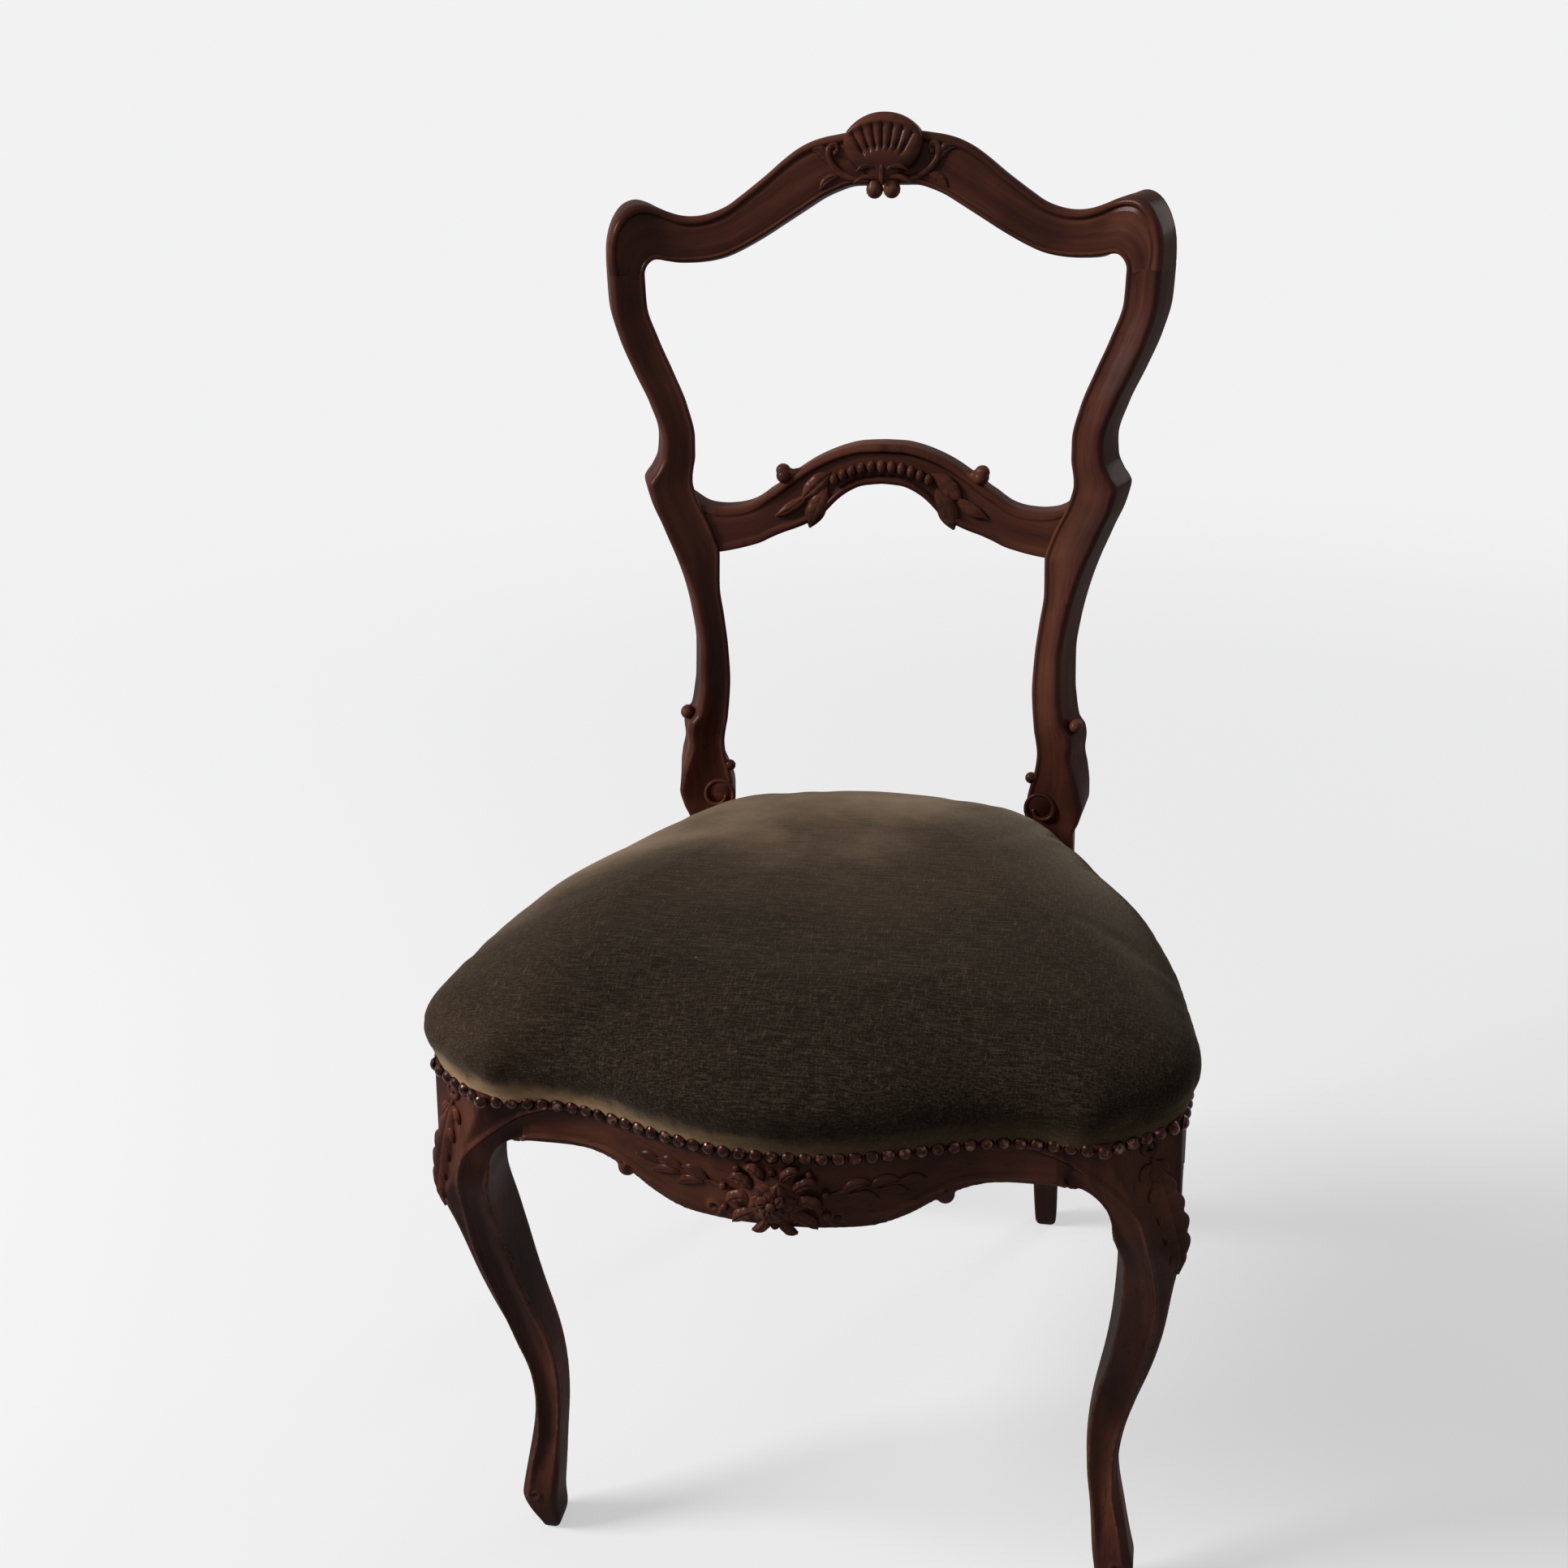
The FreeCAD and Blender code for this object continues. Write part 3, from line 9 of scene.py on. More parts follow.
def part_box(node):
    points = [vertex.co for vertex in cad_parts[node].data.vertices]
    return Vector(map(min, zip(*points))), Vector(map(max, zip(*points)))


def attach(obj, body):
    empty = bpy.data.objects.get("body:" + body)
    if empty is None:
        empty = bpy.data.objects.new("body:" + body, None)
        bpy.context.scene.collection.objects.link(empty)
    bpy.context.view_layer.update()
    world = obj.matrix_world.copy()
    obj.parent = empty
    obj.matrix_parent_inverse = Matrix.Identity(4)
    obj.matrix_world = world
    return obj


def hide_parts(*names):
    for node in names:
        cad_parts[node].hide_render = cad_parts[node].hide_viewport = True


# A carved side chair in the French revival manner. Shapes are written in millimetres on the CAD model's own
# zero line and turned into metres when a mesh is made.

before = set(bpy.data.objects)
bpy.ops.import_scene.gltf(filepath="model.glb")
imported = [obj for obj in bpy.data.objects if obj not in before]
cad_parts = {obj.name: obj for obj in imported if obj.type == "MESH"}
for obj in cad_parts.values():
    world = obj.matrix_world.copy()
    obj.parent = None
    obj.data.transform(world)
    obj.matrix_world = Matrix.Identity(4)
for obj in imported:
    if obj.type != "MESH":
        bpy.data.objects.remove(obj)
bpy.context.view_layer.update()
rng = np.random.default_rng(7)
# where the shapes' own zero line lies on the model's y axis
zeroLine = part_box("back_seat_rail")[0].y * 1000 - 162
shift = np.array([0, zeroLine, 0])
mirror = np.array([-1.0, 1.0, 1.0])
forward, rightward, upward = (0, -1, 0), np.array([1.0, 0, 0]), np.array([0, 0, 1.0])

view = {
    "azimuth": 12.74,
    "elevation": 24.64,
    "roll": -2.83,
    "distance": 1258.35,
    "target": (-35.37, 0.0, 530.13),
    "focal": 2301.35,
    "imageSize": 1932,
    "sensor": 36.0,
}


def read(items, field, kind=float, width=3):
    # One field of all points, edges or corners of a mesh, as rows of the given width.
    values = np.empty(len(items) * width, kind)
    items.foreach_get(field, values)
    return values.reshape(-1, width)


def nodePoints(node):
    # A CAD node's points in mm.
    return read(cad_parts[node].data.vertices, "co") * 1000


def addObject(name, data, material=None):
    piece = bpy.data.objects.new(name, data)
    bpy.context.scene.collection.objects.link(piece)
    if material:
        data.materials.append(material)
    return piece


def smoothFaces(mesh):
    mesh.polygons.foreach_set("use_smooth", np.ones(len(mesh.polygons), bool))


def applyModifiers(piece):
    done = bpy.data.meshes.new_from_object(piece.evaluated_get(bpy.context.evaluated_depsgraph_get()))
    piece.modifiers.clear()
    old = piece.data
    piece.data = done
    bpy.data.meshes.remove(old)


def remeshVoxels(piece, voxel):
    # Rebuilds a closed mesh from even quads about one voxel (mm) wide.
    remesh = piece.modifiers.new("remesh", "REMESH")
    remesh.mode = "VOXEL"
    remesh.voxel_size = voxel * 0.001
    applyModifiers(piece)


# Curves and grids

def hermite(x, step, low, high, slopeLow, slopeHigh):
    # The cubic over one step with these values and slopes at its ends; x runs from 0 to 1.
    return ((2 * x**3 - 3 * x**2 + 1) * low + (x**3 - 2 * x**2 + x) * step * slopeLow
            + (3 * x**2 - 2 * x**3) * high + (x**3 - x**2) * step * slopeHigh)


def spline(keys, count):
    # A smooth line through the keys: cubic pieces whose slopes come from the neighbours' chords. The steps are
    # measured over the first three columns; further columns go along with them.
    keys = np.asarray(keys, float)
    steps = np.linalg.norm(np.diff(keys[:, :3], axis=0), axis=1)
    t = np.concatenate([[0], np.cumsum(np.maximum(steps, 1e-9))])
    slope = np.empty_like(keys)
    slope[1:-1] = (keys[2:] - keys[:-2]) / (t[2:] - t[:-2])[:, None]
    slope[0] = (keys[1] - keys[0]) / (t[1] - t[0])
    slope[-1] = (keys[-1] - keys[-2]) / (t[-1] - t[-2])
    s = np.linspace(0, t[-1], count)
    i = np.clip(np.searchsorted(t, s, side="right") - 1, 0, len(t) - 2)
    step = (t[i + 1] - t[i])[:, None]
    return hermite((s - t[i])[:, None] / step, step, keys[i], keys[i + 1], slope[i], slope[i + 1])


def smoothKeys(keys, values, at):
    # Monotone cubic through the keys: slopes are the harmonic mean of the neighbours, or 0 at a turning point.
    step = np.diff(keys)
    chord = np.diff(values) / step
    slope = np.zeros(len(keys))
    same = chord[:-1] * chord[1:] > 0
    slope[1:-1][same] = (2 * chord[:-1] * chord[1:])[same] / (chord[:-1] + chord[1:])[same]
    slope[0], slope[-1] = chord[0], chord[-1]
    at = np.clip(at, keys[0], keys[-1])
    i = np.clip(np.searchsorted(keys, at, side="right") - 1, 0, len(keys) - 2)
    return hermite((at - keys[i]) / step[i], step[i], values[i], values[i + 1], slope[i], slope[i + 1])


def curl(centre, radius, shrink, turns, right, up, count, start=0.0):
    # A flat spiral: its radius falls by the share shrink over these turns, from the angle start.
    t = np.linspace(0, 1, count)[:, None]
    turn = start + 2 * np.pi * turns * t
    return np.asarray(centre, float) + radius * (1 - shrink * t) * (np.sin(turn) * right + np.cos(turn) * up)


def unit(v):
    return v / np.maximum(np.linalg.norm(v, axis=-1, keepdims=True), 1e-12)


def smoothStep(x, low, high):
    t = np.clip((x - low) / (high - low), 0, 1)
    return t * t * (3 - 2 * t)


def loopSurface(grid, grain=None):
    # A closed skin over rings: quads between neighbouring rings, and a fan of triangles on each end ring.
    rows, columns = grid.shape[:2]
    index = np.arange(rows * columns).reshape(rows, columns)
    after = np.roll(index, -1, axis=1)
    quads = np.stack([index[:-1], after[:-1], after[1:], index[1:]], -1).reshape(-1, 4)
    low = np.full(columns, rows * columns)
    tris = np.concatenate([np.stack([after[0], index[0], low], -1), np.stack([index[-1], after[-1], low + 1], -1)])
    verts, grain = (np.concatenate([g.reshape(-1, 3), [g[0].mean(0)], [g[-1].mean(0)]])
                    for g in (grid, grid if grain is None else grain))
    p = verts - verts.mean(0)
    faces = np.concatenate([quads[:, [0, 1, 2]], quads[:, [0, 2, 3]], tris])
    volume = (p[faces[:, 0]] * np.cross(p[faces[:, 1]], p[faces[:, 2]])).sum()
    if volume < 0:
        quads, tris = quads[:, ::-1], tris[:, ::-1]
    return verts, quads, tris, grain


def mirrorParts(parts):
    # The same skins on the other side: x changes sign, every face turns round and the grain is that of another
    # board.
    return [(v * mirror, q[:, ::-1], t[:, ::-1], g + np.array([0, 37, 11])) for v, q, t, g in parts]


def makePiece(name, parts, node, joint=None):
    # Joins skins into one object in metres, with a grain coordinate and a value at each point that paints rubbed
    # edges, partly as highlight, and shade in the hollows. joint is an axis and a distance in mm: where two
    # members meet there, this painted wear and shade fades and the rim is sharp.
    verts, grain = (np.concatenate([part[k] for part in parts]) for k in (0, 3))
    offsets = np.cumsum([0] + [len(part[0]) for part in parts])[:-1]
    quads, tris = (np.concatenate([part[k] + offset for part, offset in zip(parts, offsets)]) for k in (1, 2))
    mesh = bpy.data.meshes.new(name)
    mesh.vertices.add(len(verts))
    mesh.vertices.foreach_set("co", ((verts + shift) * 0.001).ravel())
    mesh.loops.add(quads.size + tris.size)
    mesh.loops.foreach_set("vertex_index", np.concatenate([quads.ravel(), tris.ravel()]))
    mesh.polygons.add(len(quads) + len(tris))
    starts = np.concatenate([np.arange(len(quads)) * 4, quads.size + np.arange(len(tris)) * 3])
    mesh.polygons.foreach_set("loop_start", starts)
    mesh.update(calc_edges=True)
    mesh.validate()
    smoothFaces(mesh)
    mesh.attributes.new("grain", "FLOAT_VECTOR", "POINT").data.foreach_set("vector", (grain * 0.001).ravel())
    wear = wearAndShadeOf(mesh)
    if joint:
        away = np.abs(np.abs(verts[:, joint[0]]) - joint[1])
        wear = wear * smoothStep(away, 1.0, 2.6)
        rim = (away < 0.02)[read(mesh.edges, "vertices", int, 2)].all(1)
        mesh.attributes.new("sharp_edge", "BOOLEAN", "EDGE").data.foreach_set("value", rim)
    mesh.attributes.new("wear", "FLOAT", "POINT").data.foreach_set("value", wear)
    piece = addObject(name, mesh, carvedWood)
    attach(piece, "root")
    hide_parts(node)
    return piece


def neighbourMean(values, edges):
    # The mean over each point's neighbours, for one value or three at each point.
    if values.ndim > 1:
        return np.stack([neighbourMean(column, edges) for column in values.T], -1)
    a, b = edges.T
    count = len(values)
    near = np.maximum(np.bincount(a, minlength=count) + np.bincount(b, minlength=count), 1)
    return (np.bincount(a, values[b], minlength=count) + np.bincount(b, values[a], minlength=count)) / near


def quadEdges(quads):
    return np.concatenate([quads[:, [k, (k + 1) % 4]] for k in range(4)])


def wearAndShadeOf(mesh):
    # How far each point stands out of its neighbours, along its normal and over their mean distance. The wood
    # paints rubbed edges from it, partly real wear and partly painted highlight, and painted shade in the hollows.
    co, normal = read(mesh.vertices, "co"), read(mesh.vertices, "normal")
    edges = read(mesh.edges, "vertices", int, 2)
    a, b = edges.T
    count = len(co)
    length = np.linalg.norm(co[a] - co[b], axis=1)
    near = np.maximum(np.bincount(a, minlength=count) + np.bincount(b, minlength=count), 1)
    span = (np.bincount(a, length, minlength=count) + np.bincount(b, length, minlength=count)) / near
    bend = ((co - neighbourMean(co, edges)) * normal).sum(1) / np.maximum(span, 1e-6)
    for _ in range(3):
        bend = 0.5 * bend + 0.5 * neighbourMean(bend, edges)
    return np.clip(bend * 3, -1, 1)


# Shader helpers

class Sock:
    # Wraps a socket, so that Python's operators add Math nodes.
    def __init__(self, tree, socket):
        self.tree = tree
        self.socket = socket

    def math(self, operation, *values, clamp=False):
        node = self.tree.nodes.new("ShaderNodeMath")
        node.operation = operation
        node.use_clamp = clamp
        for slot, value in zip(node.inputs, values):
            if isinstance(value, Sock):
                self.tree.links.new(value.socket, slot)
            else:
                slot.default_value = value
        return Sock(self.tree, node.outputs[0])

    def __add__(self, other):
        return self.math("ADD", self, other)

    def __sub__(self, other):
        return self.math("SUBTRACT", self, other)

    def __mul__(self, other):
        return self.math("MULTIPLY", self, other)

    def __radd__(self, other):
        return self.math("ADD", other, self)

    def __rsub__(self, other):
        return self.math("SUBTRACT", other, self)

    def __rmul__(self, other):
        return self.math("MULTIPLY", other, self)

    def clip(self):
        return self.math("ADD", self, 0.0, clamp=True)

    def other(self, output):
        return Sock(self.tree, self.socket.node.outputs[output])


class Shade:
    # One material's node tree with a Principled shader, its constants set on the shader's own sockets.
    def __init__(self, name, constants):
        self.material = bpy.data.materials.new(name)
        self.material.use_nodes = True
        self.tree = self.material.node_tree
        self.shader = self.tree.nodes["Principled BSDF"]
        for key, value in constants.items():
            self.shader.inputs[key].default_value = value

    def node(self, kind, settings, values, output=0):
        node = self.tree.nodes.new(kind)
        for key, value in settings.items():
            if key == "stops":
                ramp = node.color_ramp
                while len(ramp.elements) < len(value):
                    ramp.elements.new(1)
                for element, (place, color) in zip(ramp.elements, value):
                    element.position = place
                    element.color = color
            else:
                setattr(node, key, value)
        for key, value in values.items():
            if isinstance(value, Sock):
                self.tree.links.new(value.socket, node.inputs[key])
            else:
                node.inputs[key].default_value = value
        return Sock(self.tree, node.outputs[output])

    def attribute(self, name, output):
        return self.node("ShaderNodeAttribute", {"attribute_name": name}, {}, output)

    def place(self, source="object", scale=(1, 1, 1)):
        # Object coordinates, or the piece's own grain coordinates, stretched by a scale.
        if source == "object":
            base = self.node("ShaderNodeTexCoord", {}, {}, "Object")
        else:
            base = self.attribute(source, "Vector")
        return self.node("ShaderNodeVectorMath", {"operation": "MULTIPLY"}, {0: base, 1: scale})

    def noise(self, where, scale, detail=3.0, roughness=0.55):
        return self.node("ShaderNodeTexNoise", {}, {"Vector": where, "Scale": scale, "Detail": detail,
                                                    "Roughness": roughness}, "Fac")

    def ramp(self, value, stops):
        return self.node("ShaderNodeValToRGB", {"stops": stops}, {"Fac": value}, "Color")

    def span(self, value, low, high, toLow=0.0, toHigh=1.0):
        return self.node("ShaderNodeMapRange", {"interpolation_type": "SMOOTHSTEP"},
                         {"Value": value, "From Min": low, "From Max": high, "To Min": toLow, "To Max": toHigh})

    def mix(self, factor, first, second, blend="MIX"):
        return self.node("ShaderNodeMix", {"data_type": "RGBA", "blend_type": blend},
                         {0: factor, 6: first, 7: second}, 2)

    def bump(self, height, strength, distance):
        return self.node("ShaderNodeBump", {}, {"Height": height, "Strength": strength, "Distance": distance})

    def finish(self, **links):
        for key, value in links.items():
            self.tree.links.new(value.socket, self.shader.inputs[key.replace("_", " ")])
        return self.material


woodLook = {
    "deep": (0.008, 0.0026, 0.0018, 1),     # in pores and patches, and as painted shade in the hollows of the carving
    "body": (0.047, 0.0135, 0.0095, 1),
    "warm": (0.125, 0.042, 0.024, 1),       # lighter streaks of the figure
    "rubbedAndHighlight": (0.26, 0.125, 0.055, 1),      # edges worn by hands, partly real wear and partly painted highlight
    # scales of the noise patterns, and the range of roughness
    "figure": 26.0,
    "pores": 420.0,
    "patches": 14.0,
    "scuffs": 160.0,
    "rough": (0.27, 0.46),
    "coat": {"Coat Weight": 0.11, "Coat Roughness": 0.22, "Specular IOR Level": 0.0},
}
# the corner blocks: sawn wood without stain
blockLook = dict(woodLook, deep=(0.05, 0.028, 0.014, 1), body=(0.19, 0.11, 0.055, 1), warm=(0.3, 0.19, 0.1, 1),
                 rough=(0.6, 0.75))


def woodMaterial(name, look, stretch, source="object"):
    # Stained hardwood: a streaked figure along the grain, fine pores, painted shade in the hollows and rubbed
    # golden edges, partly real wear and partly painted highlight.
    shade = Shade(name, look["coat"])
    along = shade.place(source, stretch)
    figure = shade.noise(along, look["figure"], 5.0, 0.62)
    pores = shade.noise(along, look["pores"], 2.0, 0.5)
    patches = shade.noise(shade.place(), look["patches"], 3.0, 0.5)
    streak = shade.span(figure, 0.34, 0.68)
    color = shade.mix(streak, look["body"], look["warm"])
    color = shade.mix(shade.span(patches, 0.35, 0.7, 0.0, 0.55), color, look["deep"])
    color = shade.mix(shade.span(pores, 0.6, 0.75, 0.0, 0.5), color, look["deep"])
    wear = shade.attribute("wear", "Fac")
    scuff = shade.noise(shade.place(), look["scuffs"], 4.0, 0.65)
    # painted shade: the hollows, where a point lies below its neighbours, turn dark
    hollow = shade.span(wear, -0.05, -0.5, 0.0, 0.92)
    # the raised edges get a golden colour, partly real wear and partly painted highlight
    edge = shade.span(wear, 0.22, 0.85, 0.0, 1.0) * shade.span(scuff, 0.38, 0.68, 0.15, 0.9)
    color = shade.mix(hollow, color, look["deep"])
    color = shade.mix(edge * 0.62, color, look["rubbedAndHighlight"])
    rough = shade.span(patches, 0.3, 0.7, *look["rough"]) + hollow * 0.2
    height = pores * 0.3 + figure * 0.6 + scuff * 0.25
    return shade.finish(Base_Color=color, Roughness=rough, Normal=shade.bump(height, 0.28, 0.0006))


# Members of the back, as sections carried along their two edges

backLook = {"place": 156.0, "height": 447.0, "rake": 0.197, "hollow": 19.0, "reach": 180.0, "turn": 22.0}


def backY(x, z):
    # The back's front face: raked with the height, and hollow towards the middle by a parabola.
    rake = backLook["rake"] * (z - backLook["height"])
    return backLook["place"] + rake + backLook["hollow"] * (1 - (x / backLook["reach"]) ** 2)


def bothSides(values, flip=mirror):
    # A row of values from the chair's middle outwards, run on from the other side's end.
    return np.concatenate([values[:0:-1] * flip, values])


def edgeLines(keys, count):
    # Smooth lines through the x and z of a lower and an upper edge, in steps along the lower one.
    lowX, lowZ, highX, highZ = np.array(keys, float).T
    return spline(np.stack([lowX, 0 * lowX, lowZ, highX, highZ], -1), count)[:, [0, 2, 3, 4]].T


def member(lowEdge, highEdge, inward, thick, relief, section, columns):
    # Each ring = low edge + across * (a * width + b) + inward * (c * thick + d + e * relief).
    last = len(lowEdge) - 1
    at = np.concatenate([[0, 0.06], np.arange(1, last), [last - 0.06, last]])

    def along(values):
        # an extra ring just inside each end keeps the end's corner crisp
        share = (at - np.floor(at)).reshape([-1] + [1] * (values.ndim - 1))
        return values[np.floor(at).astype(int)] * (1 - share) + values[np.ceil(at).astype(int)] * share

    lowEdge, highEdge, inward, thick, relief = (along(v) for v in (lowEdge, highEdge, inward, thick, relief))
    width = np.linalg.norm(highEdge - lowEdge, axis=1)
    across = unit(highEdge - lowEdge)
    a, b, c, d, e = smoothLoop(section, columns).T
    grid = (lowEdge[:, None] + across[:, None] * (a * width[:, None] + b)[..., None]
            + inward[:, None] * (c * thick[:, None] + d + e * relief[:, None])[..., None])
    middle = (lowEdge + highEdge) / 2
    run = np.concatenate([[0], np.cumsum(np.linalg.norm(np.diff(middle, axis=0), axis=1))])
    girth = np.stack(np.broadcast_arrays(run[:, None], a * width[:, None], (c + 0 * a) * thick[:, None]), -1)
    return loopSurface(grid, girth)


def smoothLoop(section, count):
    # Points put between the keys of a closed section in straight runs, more of them on the longer steps.
    keys = np.asarray(section, float)
    keys = np.concatenate([keys, keys[:1]])
    size = np.linalg.norm(np.diff(keys, axis=0) * np.array([30, 1, 30, 1, 1]), axis=1)
    weight = np.concatenate([[0], np.cumsum(np.maximum(size, 0.4) ** 0.6)])
    t = np.linspace(0, weight[-1], count, endpoint=False)
    return np.stack([np.interp(t, weight, keys[:, k]) for k in range(keys.shape[1])], -1)


postLook = {
    # height, inner side, outer side (mm) of the upper post
    "upper": [(405, 118, 150), (420, 117.5, 150), (432, 115.5, 156), (446, 113.6, 161), (458, 115.5, 161.3),
              (470, 118.6, 160), (482, 119.8, 157.8), (492, 118.6, 158.6), (499, 117.2, 157.6),
              (506, 116.4, 152.7), (518, 115.3, 150.4), (530, 114.7, 149), (554, 115.9, 148.6),
              (578, 118.7, 151.7), (602, 121.8, 157.2), (626, 121.5, 165), (638, 125, 170), (650, 130, 175),
              (662, 136, 180.5), (672, 139.6, 183.6), (679, 141, 185), (683, 140.9, 183.2), (688, 140.2, 179.4),
              (698, 138.7, 175), (710, 138.7, 174.2), (734, 144, 181.2), (758, 153.6, 192.3), (782, 164, 202.4),
              (806, 172, 208.7), (828, 173.2, 210)],
    # height, centre x, centre y, side of the rear leg
    "leg": [(0, 129, 242, 13), (1.5, 129, 242, 15.6), (5, 129, 241.3, 17.6), (14, 129, 239.5, 18.6),
            (30, 129, 236, 19.5), (100, 130, 215, 22), (200, 131.5, 192, 26), (300, 133.5, 176, 30),
            (345, 134, 174, 32), (380, 134, 174, 32)],
    "thick": 34.0,
    "legThick": 32.0,
}

# across share, mm across, depth share, mm inward, relief in mm
postSection = [
    (0, 0.0, 0, 2.4, 0), (0, 0.5, 0, 0.9, 0), (0, 1.3, 0, 0.1, -0.2), (0, 2.2, 0, 0, -0.5),
    (0, 3.1, 0, 0, -0.2), (0, 3.9, 0, 0, 0.7), (0, 4.7, 0, 0, 1.1), (0, 5.8, 0, 0, 1.3),
    (0.12, 5.2, 0, 0, 1.35), (0.26, 3.6, 0, 0, 1.2), (0.42, 1.8, 0, 0, 0.7), (0.56, 0, 0, 0, 0.1),
    (0.7, -2.0, 0, 0, -0.5), (0.82, -3.2, 0, 0, -1.0), (0.92, -4.2, 0, 0, -1.4), (1, -4.6, 0, 0, -1.6),
    (1, -3.8, 0, 0, -1.65), (1, -3.0, 0, 0, -1.5), (1, -2.2, 0, 0.1, -1.1), (1, -1.5, 0, 0.4, -0.6),
    (1, -0.9, 0, 0.9, -0.2), (1, -0.4, 0, 1.6, 0), (1, -0.1, 0, 2.6, 0), (1, 0, 0.15, 1.5, 0),
    (1, 0, 0.5, 0, 0), (1, -0.4, 0.85, 0, 0), (1, -1.6, 0.94, 0, 0), (1, -4, 1, 0, 0), (0.7, 0, 1, 0, 0),
    (0.3, 0, 1, 0, 0), (0, 4, 1, 0, 0), (0, 1.4, 0.95, 0, 0), (0, 0.3, 0.85, 0, 0), (0, 0, 0.5, 0, 0),
    (0, 0, 0.12, 1.5, 0),
]


def postStations(z):
    # Corner, width, thickness, turn and relief of the post at each height, as smooth lines through the keys.
    upperZ, innerX, outerX = np.array(postLook["upper"], float).T
    legZ, middleX, middleY, side = np.array(postLook["leg"], float).T
    high = smoothStep(z, 385, 425)
    share = smoothStep(z, 408, 487)
    turn = np.radians(backLook["turn"]) * share
    inner = smoothKeys(upperZ, innerX, z)
    thick = postLook["legThick"] + (postLook["thick"] - postLook["legThick"]) * share
    width = (smoothKeys(upperZ, outerX, z) - inner - thick * np.sin(turn)) / np.cos(turn)
    side = smoothKeys(legZ, side, z)
    legX, legY = (smoothKeys(legZ, middle, z) - side / 2 for middle in (middleX, middleY))
    front = backY(inner, z) + (158 - backY(118, 408)) * (1 - smoothStep(z, 405, 450))
    x, y = legX + (inner - legX) * high, legY + (front - legY) * high
    return x, y, side + (width - side) * high, side + (thick - side) * high, turn, smoothStep(z, 425, 470)


def postSkin():
    z = np.concatenate([np.array([0, 0.5, 1.5, 3]), np.linspace(5, 400, 110), np.linspace(402, 828, 240)])
    x, y, width, thick, turn, relief = postStations(z)
    low = np.stack([x, y, z], -1)
    high = low + width[:, None] * np.stack([np.cos(turn), -np.sin(turn), 0 * z], -1)
    inward = np.stack([np.sin(turn), np.cos(turn), 0 * z], -1)
    return member(low, high, inward, thick, relief, postSection, 84)


crestLook = {
    # lower edge x and z, upper edge x and z, in mm; the last rows turn down into the post
    "edges": [(0, 884.5, 0, 920.5), (12, 884.4, 12, 920.3), (24, 884, 24, 920), (34, 881, 34, 918.7),
              (44, 876.8, 44, 917), (54, 871, 54, 914), (64, 865, 64, 909), (74, 859, 74, 902),
              (84, 853, 84, 894), (94, 847.5, 94, 886.6), (104, 842.5, 104, 879.5), (114, 838.4, 114, 873),
              (124, 836, 124.5, 869), (134, 835, 135.5, 867), (144, 835, 147, 867.7), (152, 835.5, 158, 871),
              (158, 836.4, 167, 874.8), (163, 837.2, 176, 878.3), (167, 836.8, 186, 879.8),
              (170, 834.6, 196, 875.6), (172, 831.8, 204, 865), (173, 829, 209, 850), (173.2, 827, 210.2, 836),
              (173.2, 825.4, 210, 826)],
    "thick": 25.0,
}

crestSection = [
    (0, 0.0, 0, 2.6, 0), (0, 0.4, 0, 1.0, 0), (0, 1.2, 0, 0.1, -0.2), (0, 2.2, 0, 0, -0.5),
    (0, 3.2, 0, 0, -0.1), (0, 3.8, 0, 0, 1.1), (0, 4.4, 0, 0, 1.4), (0, 5.2, 0, 0, 0.9), (0.14, 4.4, 0, 0, 0.6),
    (0.3, 2.6, 0, 0, 1.2), (0.45, 0.6, 0, 0, 1.5), (0.6, -1.4, 0, 0, 1.3), (0.76, -3.8, 0, 0, 0.7),
    (0.9, -6.6, 0, 0, 0.3), (1, -8.4, 0, 0, 0.9), (1, -7.7, 0, 0, 1.3), (1, -7.0, 0, 0, 0.9),
    (1, -6.2, 0, 0, -0.4), (1, -5.0, 0, 0, -1.2), (1, -3.6, 0, 0.1, -1.3), (1, -2.2, 0, 0.6, -1.0),
    (1, -1.0, 0, 1.6, -0.4), (1, -0.2, 0, 3.4, 0), (1, 0, 0.2, 1.5, 0), (1, 0, 0.5, 0, 0),
    (1, -0.6, 0.85, 0, 0), (1, -2.2, 0.95, 0, 0), (1, -5, 1, 0, 0), (0.7, 0, 1, 0, 0), (0.3, 0, 1, 0, 0),
    (0, 4, 1, 0, 0), (0, 1.6, 0.95, 0, 0), (0, 0.4, 0.85, 0, 0), (0, 0, 0.5, 0, 0), (0, 0, 0.14, 1.5, 0),
]


def crestSkin():
    # Across the middle the section stands square to the face; towards the post it turns into the post's section.
    lowX, lowZ, highX, highZ = edgeLines(crestLook["edges"], 190)
    near = smoothStep(highX, 150, 212)
    turn = (np.radians(backLook["turn"]) * smoothStep(highX, 160, 210))[:, None]
    thick = crestLook["thick"] + (postLook["thick"] - crestLook["thick"]) * smoothStep(highX, 120, 205)
    low = np.stack([lowX, backY(lowX, lowZ), lowZ], -1)
    along = np.stack([highX - lowX, backLook["rake"] * (highZ - lowZ), highZ - lowZ], -1)
    width = np.linalg.norm(along, axis=1)[:, None]
    along = along / width
    slope = 2 * backLook["hollow"] * lowX / backLook["reach"] ** 2
    back = unit(np.stack([slope * (1 - near), 1 + 0 * near, -backLook["rake"] * (1 - near)], -1))
    face = (width - thick[:, None] * np.sin(turn)) / np.cos(turn)
    high = low + (along * np.cos(turn) - back * np.sin(turn)) * face
    inward = along * np.sin(turn) + back * np.cos(turn)
    low, high, inward = (bothSides(values) for values in (low, high, inward))
    return member(low, high, inward, bothSides(thick, 1), np.ones(len(low)), crestSection, 84)


